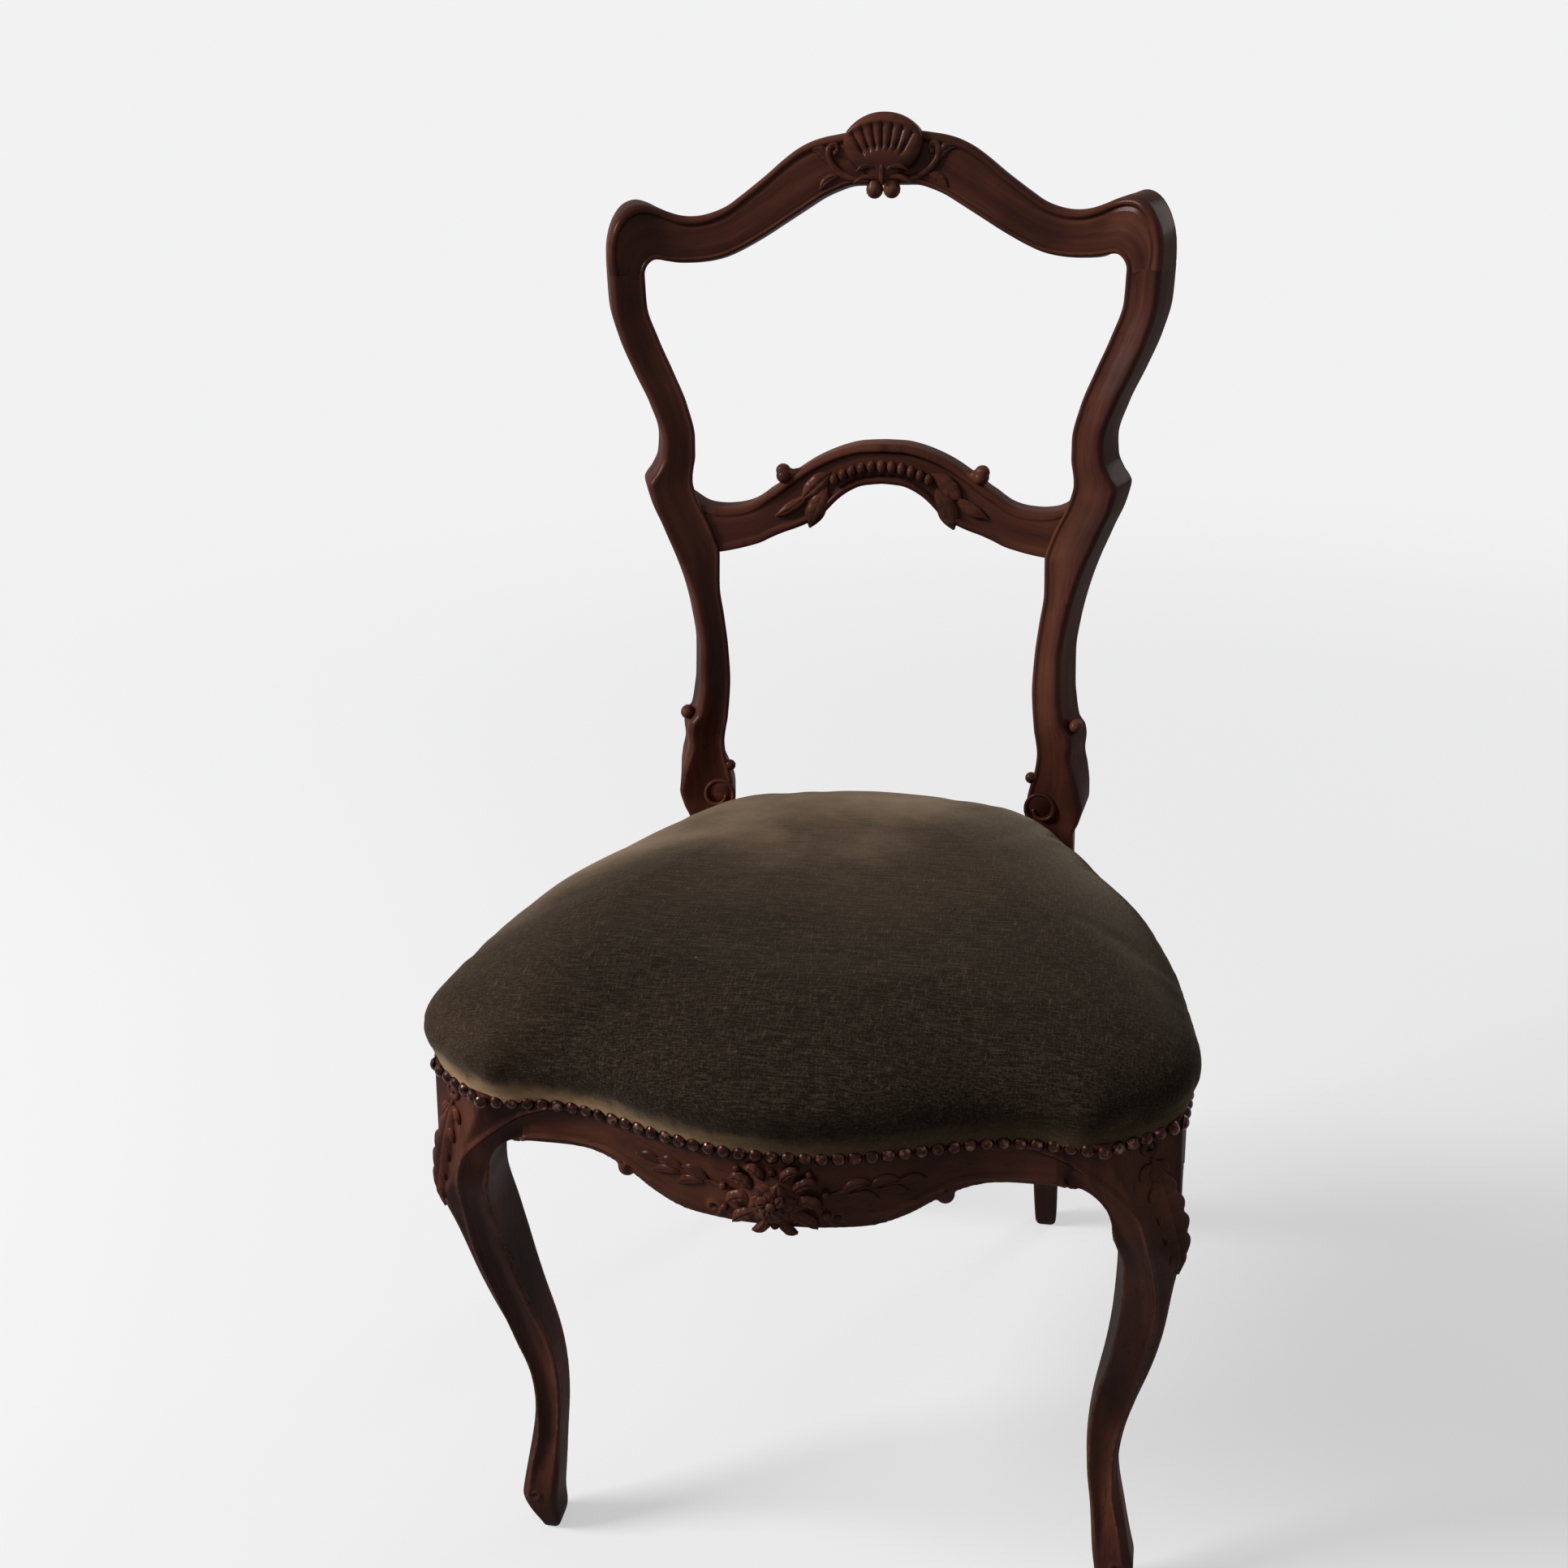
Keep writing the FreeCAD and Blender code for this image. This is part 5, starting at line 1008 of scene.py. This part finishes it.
coverLook = {
    "voxel": 5.0,
    # the cloth simulation: starting size in plan, settings, frames, longest move (mm) and share of it that is kept
    "shrink": 0.985,
    "cloth": {"use_pressure": True, "uniform_pressure_force": 4.0, "vertex_group_mass": "rim", "quality": 6,
              "tension_stiffness": 25, "bending_stiffness": 2.5},
    "frames": 20,
    "cap": 18.0,
    "kept": 0.22,
    "base": 405.3,
    # half of the seat's lower edge in plan, from the front's middle to the back's (mm)
    "outline": [(0, -238), (34.6, -235), (69.3, -225.8), (100.6, -214.3), (128.7, -206), (155, -204.6),
                (180, -206.8), (203.7, -196), (225.8, -178.7), (237, -160), (237.8, -135), (230.8, -90),
                (220, -45), (206, 0), (190.5, 40), (172.2, 80), (151.8, 118), (131, 149), (104, 170), (59, 180),
                (0, 183)],
    "middle": -30.0,
    "hem": 399.2,
    "belly": (8.5, 428.0),      # overhang and height of the widest line
    "crown": 472.0,
    # the back corners: their bearing (rad), how far each effect reaches round, and what it takes off
    "corner": {"bearing": 2.5, "rise": (0.6, 0.09), "belly": (0.5, 4.0)},
    # share of the way out from the crown's middle, and share of the rise left there
    "dome": [(0, 1), (0.25, 0.995), (0.45, 0.965), (0.64, 0.885), (0.79, 0.745), (0.9, 0.545), (0.965, 0.34),
             (1, 0.12)],
    # pull folds: bearing and half width (rad), depth (mm)
    "folds": [(-0.98, 0.035, 1.6), (-0.86, 0.03, 1.2), (-1.12, 0.04, 1.2), (0.9, 0.035, 1.4), (1.05, 0.04, 1.0),
              (-0.55, 0.05, 0.5), (0.42, 0.05, 0.5), (2.3, 0.04, 1.0), (-2.35, 0.04, 1.0)],
}


def seatForm():
    # Rings of radius R(angle) * r: over the top the height falls from the crown by the dome's shares, and below
    # the widest line the ring draws in again to the rail. The top rings use a rounder R than the lower edge.
    look = coverLook
    half = np.array(look["outline"], float)
    ring = np.concatenate([half, half[-2:0:-1] * mirror[:2], half[:1]])
    dense = spline(np.concatenate([ring, 0 * ring[:, :1]], 1), 1200)[:, :2] - np.array([0, look["middle"]])
    bearing = np.arctan2(dense[:, 0], -dense[:, 1])
    order = np.argsort(bearing)
    angle = np.linspace(-np.pi, np.pi, 360, endpoint=False)
    low = np.interp(angle, bearing[order], np.hypot(*dense[order].T), period=2 * np.pi)
    soft = low.copy()
    for _ in range(170):
        soft = 0.5 * soft + 0.25 * (np.roll(soft, 1) + np.roll(soft, -1))
    out, belly = look["belly"]
    front = 0.35 + 0.65 * smoothStep(np.cos(angle), -0.55, -0.1)
    out = out * front

    def corner(name):
        reach, depth = look["corner"][name]
        return depth * np.exp(-((np.abs(angle) - look["corner"]["bearing"]) / reach) ** 2)

    share = np.sin(np.linspace(0.02, np.pi / 2, 44))
    fall = smoothKeys(*np.array(look["dome"]).T, share)[:, None]
    blend = smoothStep(share, 0.72, 1.0)[:, None]
    share = share[:, None]
    top = share * ((soft + out) * (1 - blend) + (low + out) * blend)
    belly = belly - corner("belly")
    topZ = belly + (look["crown"] - belly) * fall * (1 - corner("rise") * share**2)
    down = np.linspace(0, 1, 12)[1:-1, None]
    under = low + out * np.cos(down * np.pi / 2) ** 1.2 + 1.5 * front * np.sin(down * np.pi)
    underZ = belly + 0.12 * (look["crown"] - belly) * (1 - down) - (belly - look["base"]) * down
    # the cover's edge laps a little over the rails, down to the nails
    lap = low + np.array([1.6, 1.8, 0.2])[:, None]
    lapZ = np.array([look["base"] - 1.0, look["hem"], look["hem"] - 0.4])[:, None] + 0 * lap
    radius, height = np.concatenate([top, under, lap]), np.concatenate([topZ, underZ, lapZ])
    return np.stack([radius * np.sin(angle), look["middle"] - radius * np.cos(angle), height], -1)


def blowUp(piece):
    # Lets the cover swell as cloth from a slightly smaller plan, held along its lower rim. It moves by a share of
    # the way that the simulation goes.
    rest = read(piece.data.vertices, "co")
    middle = (rest.min(0) + rest.max(0)) / 2
    small = middle + (rest - middle) * np.array([coverLook["shrink"], coverLook["shrink"], 1.0])
    piece.data.vertices.foreach_set("co", small.ravel())
    pinned = piece.vertex_groups.new(name="rim")
    low = rest[:, 2] * 1000 < coverLook["base"] + 7
    pinned.add([int(i) for i in np.flatnonzero(low)], 1.0, "REPLACE")
    cloth = piece.modifiers.new("cloth", "CLOTH")
    for key, value in coverLook["cloth"].items():
        setattr(cloth.settings, key, value)
    cloth.settings.effector_weights.gravity = 0
    cloth.point_cache.frame_start = 1
    cloth.point_cache.frame_end = coverLook["frames"]
    for step in range(1, coverLook["frames"] + 1):
        bpy.context.scene.frame_set(step)
    applyModifiers(piece)
    bpy.context.scene.frame_set(1)
    moved = read(piece.data.vertices, "co") - rest
    length = np.linalg.norm(moved, axis=1, keepdims=True)
    moved = moved * np.minimum(1, coverLook["cap"] * 0.001 / np.maximum(length, 1e-9))
    print("seat: cloth moved up to", round(float(length.max()) * 1000, 1), "mm")
    piece.data.vertices.foreach_set("co", (rest + moved * coverLook["kept"]).ravel())


def velvetSeat():
    # The cover is blown up a little as cloth over its solid, then gets its hem and folds.
    verts, quads, tris, _ = loopSurface(seatForm())
    mesh = bpy.data.meshes.new("velvetSeat")
    mesh.from_pydata(((verts + shift) * 0.001).tolist(), [], quads.tolist() + tris.tolist())
    piece = addObject("velvetSeat", mesh)
    remeshVoxels(piece, coverLook["voxel"])
    blowUp(piece)
    finer = piece.modifiers.new("finer", "SUBSURF")
    finer.levels = finer.render_levels = 1
    applyModifiers(piece)
    low, high = (np.array(corner) * 1000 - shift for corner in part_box("velvet_cover"))
    co = seatRelief(read(piece.data.vertices, "co") * 1000 - shift, low, high)
    piece.data.vertices.foreach_set("co", ((co + shift) * 0.001).ravel())
    smoothFaces(piece.data)
    piece.data.update()
    piece.data.materials.clear()
    piece.data.materials.append(velvet)
    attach(piece, "root")
    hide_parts("velvet_cover", "seat_stuffing")


def seatRelief(co, low, high):
    # Hem, pull folds and the slight unevenness of an old seat, all as moves along the line from the seat's middle,
    # kept within a few mm of the cover's box.
    x, y, z = co.T
    out = np.stack([x, y + 35], -1)
    bearing = np.arctan2(out[:, 0], -out[:, 1])
    hem = np.exp(-((z - 410.5) / 2.6) ** 2) * 0.35 - np.exp(-((z - 415.5) / 1.8) ** 2) * 0.3
    move = hem * smoothStep(z, 470, 430)
    for where, reach, deep in coverLook["folds"]:
        near = (bearing - where - 0.0016 * (z - 412)) / reach
        move -= deep * np.exp(-(near**2)) * smoothStep(z, 409, 417) * smoothStep(z, 452, 420)
    move += 0.5 * np.sin(bearing * 17 + 1.3) * smoothStep(z, 450, 425) * smoothStep(z, 408, 416)
    move *= smoothStep(z, 406, 409)
    co = co + np.concatenate([unit(out) * move[:, None], 0 * z[:, None]], 1)
    co[:, 2] += (0.7 * np.sin(x / 41 + 0.7) * np.sin(y / 33 + 0.4) - 0.8) * smoothStep(z, 440, 462)
    return np.clip(co, low - np.array([9, 9, 8]), high + np.array([9, 9, 0]))


# Finishes

velvetLook = {
    "deep": (0.0075, 0.0048, 0.0032, 1),
    "pile": (0.027, 0.0165, 0.0108, 1),
    "rubbedAndSheen": (0.26, 0.18, 0.116, 1),        # rub lines in the pile, and painted sheen towards the back and the left
    "rollHighlight": (0.44, 0.285, 0.155, 1),       # painted highlight on the lower roll, strongest towards the left front
    "lint": (0.55, 0.5, 0.42, 1),
    "roll": (0.4215, 0.4045),              # heights between which the lower roll comes in, m
    "sheen": {"Roughness": 0.95, "Sheen Weight": 0.22, "Sheen Roughness": 0.35, "Sheen Tint": (0.85, 0.68, 0.5, 1),
              "Specular IOR Level": 0.06},
    # stretch, scale, detail and roughness of the noise patterns
    "lines": ((5, 60, 60), 17.0, 5.0, 0.72),
    "threads": ((60, 6, 30), 16.0, 3.0, 0.6),
    "clouds": ((1.0, 1.3, 1.3), 8.0, 4.0, 0.6),
    "nap": ((1, 1, 1), 900.0, 2.0, 0.6),
    "ragged": ((3, 3, 1), 22.0, 4.0, 0.7),
}


def velvetMaterial():
    # Pile in clouds of light and dark with very fine rub lines from side to side. Painted sheen makes it paler at
    # the back and the left, so that it is darkest before the hem; a painted golden highlight lies on the lower
    # roll, and there are a few curls of lint.
    look = velvetLook
    shade = Shade("velvet", look["sheen"])
    lines, threads, clouds, nap, ragged = (shade.noise(shade.place(scale=look[name][0]), *look[name][1:])
                                           for name in ("lines", "threads", "clouds", "nap", "ragged"))
    x = shade.node("ShaderNodeSeparateXYZ", {}, {0: shade.place()}, "X")
    y, z = x.other("Y"), x.other("Z")
    # painted sheen and light: paler towards the back, less so at the right, and paler on the lit left side
    back = shade.span(y, -0.17, 0.08) * shade.span(x, 0.17, 0.02, 0.35, 1.0) * shade.span(y, 0.17, 0.1, 0.45, 1.0)
    left = shade.span(x, -0.1, -0.24)
    # how pale the pile is: painted sheen at the back and the left, with clouds of tone at random
    lay = (back * 0.66 + left * 0.46 + clouds * 0.72 - 0.34).clip()
    color = shade.mix(shade.span(lay, 0.0, 0.5), look["deep"], look["pile"])
    color = shade.mix(shade.span(lay, 0.38, 1.0), color, look["rubbedAndSheen"])
    rub = shade.span(lines, 0.42, 0.72) * 0.15 + shade.span(threads, 0.5, 0.8) * 0.17
    color = shade.mix(rub + shade.span(nap, 0.5, 0.75) * 0.1, color, look["rubbedAndSheen"])
    color = shade.mix(shade.span(lines, 0.5, 0.3) * 0.2, color, look["deep"])
    # painted highlight: the lower roll turns golden, strongest at the left front, with a ragged edge
    roll = shade.span(z + (ragged - 0.5) * 0.022, *look["roll"])
    roll = roll * shade.span(x, 0.1, -0.19, 0.14, 0.95) * shade.span(ragged, 0.25, 0.6, 0.5, 1.0)
    color = shade.mix(roll * shade.span(y, 0.08, -0.1, 0.35, 1.0), color, look["rollHighlight"])
    values = {"Vector": shade.place(scale=(0.8, 2.2, 1)), "Scale": 17.0, "Randomness": 1.0, "Exponent": 0.6}
    curls = shade.node("ShaderNodeTexVoronoi", {"distance": "MINKOWSKI"}, values, "Distance")
    color = shade.mix(shade.span(curls, 0.035, 0.016) * 0.8, color, look["lint"])
    return shade.finish(Base_Color=color, Normal=shade.bump(nap * 0.5 + threads * 0.5 + lines * 0.8, 0.3, 0.0008))


# places on the ramp, with their colours: film, body and rubbed heads
bronzeLook = [(0.3, (0.008, 0.0035, 0.0028, 1)), (0.55, (0.034, 0.0135, 0.0095, 1)), (0.78, (0.2, 0.12, 0.09, 1))]


def bronzeMaterial():
    # Antiqued nail heads: dark film in patches over worn metal.
    shade = Shade("antiqueBronze", {"Metallic": 1.0})
    patches = shade.noise(shade.place(), 240.0, 4.0, 0.6)
    color = shade.ramp(patches, bronzeLook)
    return shade.finish(Base_Color=color, Roughness=shade.span(patches, 0.3, 0.7, 0.42, 0.24),
                        Normal=shade.bump(patches, 0.25, 0.0004))


def clothMaterial(name, color, shadow, scale, roughness):
    # Plain weave: two crossed sets of threads in the cloth's own coordinates, with darker slubs.
    shade = Shade(name, {"Roughness": roughness, "Sheen Weight": 0.2, "Specular IOR Level": 0.2})
    values = {"Vector": shade.place(), "Scale": scale, "Distortion": 0.6, "Detail": 1.0}
    warp, weft = (shade.node("ShaderNodeTexWave", {"wave_type": "BANDS", "bands_direction": way}, values, "Fac")
                  for way in "XY")
    slubs = shade.noise(shade.place(scale=(1, 6, 1)), 60.0)
    cloth = shade.mix(shade.span(warp * weft, 0.05, 0.5), shadow, color)
    cloth = shade.mix(shade.span(slubs, 0.5, 0.75, 0.0, 0.5), cloth, shadow)
    return shade.finish(Base_Color=cloth, Normal=shade.bump(warp + weft, 0.4, 0.0004))


def steelMaterial(name, color, rough):
    shade = Shade(name, {"Metallic": 1.0})
    film = shade.noise(shade.place(), 90.0, 4.0)
    tint = shade.mix(shade.span(film, 0.35, 0.7), color, (color[0] * 0.45, color[1] * 0.4, color[2] * 0.36, 1))
    return shade.finish(Base_Color=tint, Roughness=shade.span(film, 0.3, 0.7, rough, rough + 0.22))


print("materials")
alongX, alongY, alongZ = (0.1, 1.0, 1.0), (1.0, 0.1, 1.0), (1.0, 1.0, 0.1)
carvedWood = woodMaterial("carvedWood", woodLook, alongX, "grain")
railWood = woodMaterial("railWood", woodLook, alongX)
sideWood = woodMaterial("sideWood", woodLook, alongY)
frameWood = woodMaterial("frameWood", blockLook, alongZ)
velvet = velvetMaterial()
bronze = bronzeMaterial()
dustCloth = clothMaterial("dustCloth", (0.03, 0.028, 0.027, 1), (0.01, 0.0095, 0.009, 1), 260.0, 0.92)
canvas = clothMaterial("canvas", (0.42, 0.34, 0.22, 1), (0.24, 0.18, 0.11, 1), 220.0, 0.9)
jute = clothMaterial("jute", (0.36, 0.26, 0.15, 1), (0.18, 0.12, 0.06, 1), 150.0, 0.92)
springSteel = steelMaterial("springSteel", (0.42, 0.36, 0.3, 1), 0.35)
tackSteel = steelMaterial("tackSteel", (0.16, 0.16, 0.17, 1), 0.4)

# the solids that are seen as they are
corners = ["front_right", "front_left", "back_right", "back_left"]
for material, nodes in (
    (sideWood, ["right_seat_rail", "left_seat_rail"]),
    (railWood, ["back_seat_rail"]),
    (frameWood, [corner + "_corner_block" for corner in corners]),
    (bronze, ["dome_nails"]),
    (tackSteel, ["webbing_tacks"]),
    (springSteel, ["seat_spring_" + place for place in ["middle"] + corners]),
):
    for node in nodes:
        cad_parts[node].data.materials.clear()
        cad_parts[node].data.materials.append(material)

print("back")
crestJoint = (2, 826.5)
post = [postSkin()] + postCarving()
makePiece("rightPost", post, "right_back_post", crestJoint)
makePiece("leftPost", mirrorParts(post), "left_back_post", crestJoint)
makePiece("crestRail", [crestSkin()], "crest_rail", crestJoint)
makePiece("crestShell", crestCarving(), "crest_rail")
makePiece("midRail", [midSkin()] + midCarving(), "mid_rail")

print("legs and apron")
makePiece("rightLeg", frontLeg(1), "right_front_leg", (0, cutX))
makePiece("leftLeg", frontLeg(-1), "left_front_leg", (0, cutX))
makePiece("apron", frontRail(), "front_seat_rail", (0, cutX))
makePiece("apronFlower", apronCarving(), "front_seat_rail")

print("seat")
velvetSeat()


# Hidden cloth

def sheetPiece(name, node, material, grid, flat, area=None):
    # One layer of cloth over a grid of points in mm. With an area, its rings are closed and its middle is filled.
    rows, columns = grid.shape[:2]
    index = np.arange(rows * columns).reshape(rows, columns)
    here = index if area else index[:, :-1]
    after = np.roll(index, -1, axis=1) if area else index[:, 1:]
    faces = np.stack([here[:-1], after[:-1], after[1:], here[1:]], -1).reshape(-1, 4).tolist()
    verts = grid.reshape(-1, 3)
    if area:
        verts = np.concatenate([verts, [grid[0].mean(0)]])
        faces += np.stack([after[0], here[0], np.full(columns, rows * columns)], -1).tolist()
    mesh = bpy.data.meshes.new(name)
    mesh.from_pydata((verts * 0.001).tolist(), [], faces)
    smoothFaces(mesh)
    piece = addObject(name, mesh, material)
    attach(piece, "root")
    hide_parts(node)


def nodeOutline(points):
    # The rim of flat points in plan, in order round their middle and evenly spaced, with the middle and the area.
    points = np.unique(points.round(2)[:, :2], axis=0)
    middle = (points.min(0) + points.max(0)) / 2
    points = points[np.argsort(np.arctan2(*(points - middle).T))]
    x, y = points.T
    area = abs(np.sum(x * np.roll(y, 1) - y * np.roll(x, 1))) / 2
    ring = np.concatenate([points, points[:1]])
    run = np.concatenate([[0], np.cumsum(np.linalg.norm(np.diff(ring, axis=0), axis=1))])
    at = np.linspace(0, run[-1], 240, endpoint=False)
    return np.stack([np.interp(at, run, ring[:, k]) for k in (0, 1)], -1), middle, area * 1e-6


def flatCloth(node, high, height, draw=1.0):
    # Rings of a node's outline below a height, drawn in towards its middle by a share; height gives z from the
    # share and y.
    points = nodePoints(node)
    rim, middle, area = nodeOutline(points[points[:, 2] < high])
    share = np.linspace(0.04, 1, 40)[:, None, None]
    plan = middle + (rim - middle) * share
    z = height(share[..., 0], plan[..., 1]) + 0 * plan[..., 0]
    return np.concatenate([plan, z[..., None]], -1) * np.array([1, draw, 1]), area


strapLook = {"width": 48.0, "across": (-66.0, 0.0, 66.0), "along": (-118.7, -40.7, 37.3)}


def webbing():
    # Straps from front to back turn up behind the front rail; those from side to side run under them.
    low, high = (np.array(v) * 1000 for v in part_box("webbing_front_to_back"))
    half = np.linspace(-0.5, 0.5, 9) * strapLook["width"]
    for k, middle in enumerate(strapLook["across"]):
        path = [(high[1] - 22 * i, low[2] + 0.6) for i in range(16)] + [(low[1] + 1.4, low[2] + 0.7)]
        path += [(low[1] + 0.6, low[2] + 1.6), (low[1] + 0.6, low[2] + 10), (low[1] + 0.6, high[2])]
        grid = np.array([[(middle + x, y, z) for x in half] for y, z in path if y > low[1]])
        length = np.linalg.norm(np.diff(grid[:, 4], axis=0), axis=1).sum() * 0.001
        sheetPiece("longStrap" + "ABC"[k], "webbing_front_to_back", jute, grid, (0.048, length))
    # each strap from side to side is as long as its solid, and lies on the solid's underside
    points = nodePoints("webbing_side_to_side")
    for k, middle in enumerate(strapLook["along"]):
        near = points[np.abs(points[:, 1] - middle) < strapLook["width"] / 2 + 2]
        end, z = near[:, 0].max(), near[:, 2].min() + 0.6
        grid = np.array([[(x, middle + y, z) for y in half] for x in np.linspace(-end, end, 40)])
        sheetPiece("sideStrap" + "ABC"[k], "webbing_side_to_side", jute, grid, (0.048, 2 * end * 0.001))


print("hidden cloth")
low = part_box("spring_canvas")[0].z * 1000
grid, area = flatCloth("spring_canvas", low + 0.3, lambda share, y: low + 0.4 + 10 * smoothStep(share, 0.88, 0.62))
sheetPiece("springCanvas", "spring_canvas", canvas, grid, (0.4472, 0.3733),
           area)
low, high = (corner.z * 1000 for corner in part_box("dust_cover"))
grid, area = flatCloth("dust_cover", high + 1,
                       lambda share, y: low + 0.4 - 5 * (1 - share**2) + 10 * smoothStep(y, -165, -195), 0.985)
sheetPiece("dustCover", "dust_cover", dustCloth, grid, (0.4584, 0.362),
           area)
webbing()


# Stage, lights and camera

stageLook = {
    "floor": (0.38, 0.38, 0.382, 1),
    "glow": (0.505, 0.505, 0.507, 1),      # part of the backdrop's own brightness, so that shadows stay light
    "underfoot": (0.22, 0.21, 0.2, 1),     # what the chair sees of the floor
    "background": (0.887, 0.887, 0.89, 1),
    "fill": 0.21,
    "radius": 3.4,
    "fade": (0.75, 2.7),                   # distances between which the floor fades out, m
}


def makeFloor():
    # A disc that fades into the background: its alpha falls with the distance from the chair.
    angle = np.linspace(0, 2 * np.pi, 96, endpoint=False)
    ring = np.stack([np.sin(angle), np.cos(angle), 0 * angle], -1) * stageLook["radius"]
    mesh = bpy.data.meshes.new("floor")
    mesh.from_pydata(ring.tolist(), [], [list(range(95, -1, -1))])
    shade = Shade("floorPaper", {"Roughness": 0.9, "Specular IOR Level": 0.0, "Emission Strength": 1.0})
    far = shade.node("ShaderNodeVectorMath", {"operation": "LENGTH"}, {0: shade.place()}, "Value")
    rays = shade.node("ShaderNodeLightPath", {}, {}, "Is Camera Ray")
    seen = (rays + rays.other("Is Glossy Ray") + rays.other("Is Transmission Ray")).clip()
    color = shade.mix(seen, stageLook["underfoot"], stageLook["floor"])
    glow = shade.mix(seen, (0, 0, 0, 1), stageLook["glow"])
    clear = shade.span(far, *stageLook["fade"], 1.0, 0.0)
    return addObject("floor", mesh, shade.finish(Base_Color=color, Emission_Color=glow, Alpha=clear))


def makeWorld():
    # The camera and mirrors see the plain background; everything else is lit by a softer fill.
    world = bpy.data.worlds.new("studio")
    bpy.context.scene.world = world
    world.use_nodes = True
    tree = world.node_tree
    tree.nodes.clear()
    rays = tree.nodes.new("ShaderNodeLightPath")
    seen = tree.nodes.new("ShaderNodeBackground")
    seen.inputs["Color"].default_value = stageLook["background"]
    fill = tree.nodes.new("ShaderNodeBackground")
    fill.inputs["Color"].default_value = (1, 1, 1, 1)
    fill.inputs["Strength"].default_value = stageLook["fill"]
    blend = tree.nodes.new("ShaderNodeMixShader")
    out = tree.nodes.new("ShaderNodeOutputWorld")
    camera = Sock(tree, rays.outputs["Is Camera Ray"])
    plain = (camera + camera.other("Is Glossy Ray") + camera.other("Is Transmission Ray")).clip()
    tree.links.new(plain.socket, blend.inputs[0])
    tree.links.new(fill.outputs[0], blend.inputs[1])
    tree.links.new(seen.outputs[0], blend.inputs[2])
    tree.links.new(blend.outputs[0], out.inputs[0])


lampLook = {
    # place, aim, width, height, watts
    "key": ((-4.1, -1.3, 3.5), (0, 0, 0.35), 1.6, 1.6, 305),
    "rim": ((1.1, 1.3, 1.3), (0.1, 0.1, 0.6), 0.5, 0.9, 5),
}


def makeLamp(name, place, aim, width, height, watts):
    data = bpy.data.lights.new(name, "AREA")
    data.shape = "RECTANGLE"
    data.size = width
    data.size_y = height
    data.energy = watts
    lamp = addObject(name, data)
    lamp.location = place
    lamp.rotation_euler = (Vector(aim) - Vector(place)).to_track_quat("-Z", "Y").to_euler()


def makeCamera():
    azimuth, elevation, roll = (math.radians(view[k]) for k in ("azimuth", "elevation", "roll"))
    flat = math.cos(elevation)
    back = Vector((math.sin(azimuth) * flat, -math.cos(azimuth) * flat, math.sin(elevation)))
    right = Vector((math.cos(azimuth), math.sin(azimuth), 0))
    up = back.cross(right)
    across = right * math.cos(roll) + up * math.sin(roll)
    rise = up * math.cos(roll) - right * math.sin(roll)
    data = bpy.data.cameras.new("camera")
    data.sensor_fit = "HORIZONTAL"
    data.sensor_width = view["sensor"]
    data.lens = view["sensor"] * view["focal"] / view["imageSize"]
    data.clip_start = 0.05
    camera = addObject("camera", data)
    place = (Vector(view["target"]) + Vector(shift) + back * view["distance"]) * 0.001
    turn = Matrix((across, rise, back)).transposed()
    camera.matrix_world = Matrix.Translation(place) @ turn.to_4x4()
    bpy.context.scene.camera = camera


print("stage")
makeFloor()
makeWorld()
for name, values in lampLook.items():
    makeLamp(name, *values)
makeCamera()
bpy.context.scene.view_settings.view_transform = "Standard"
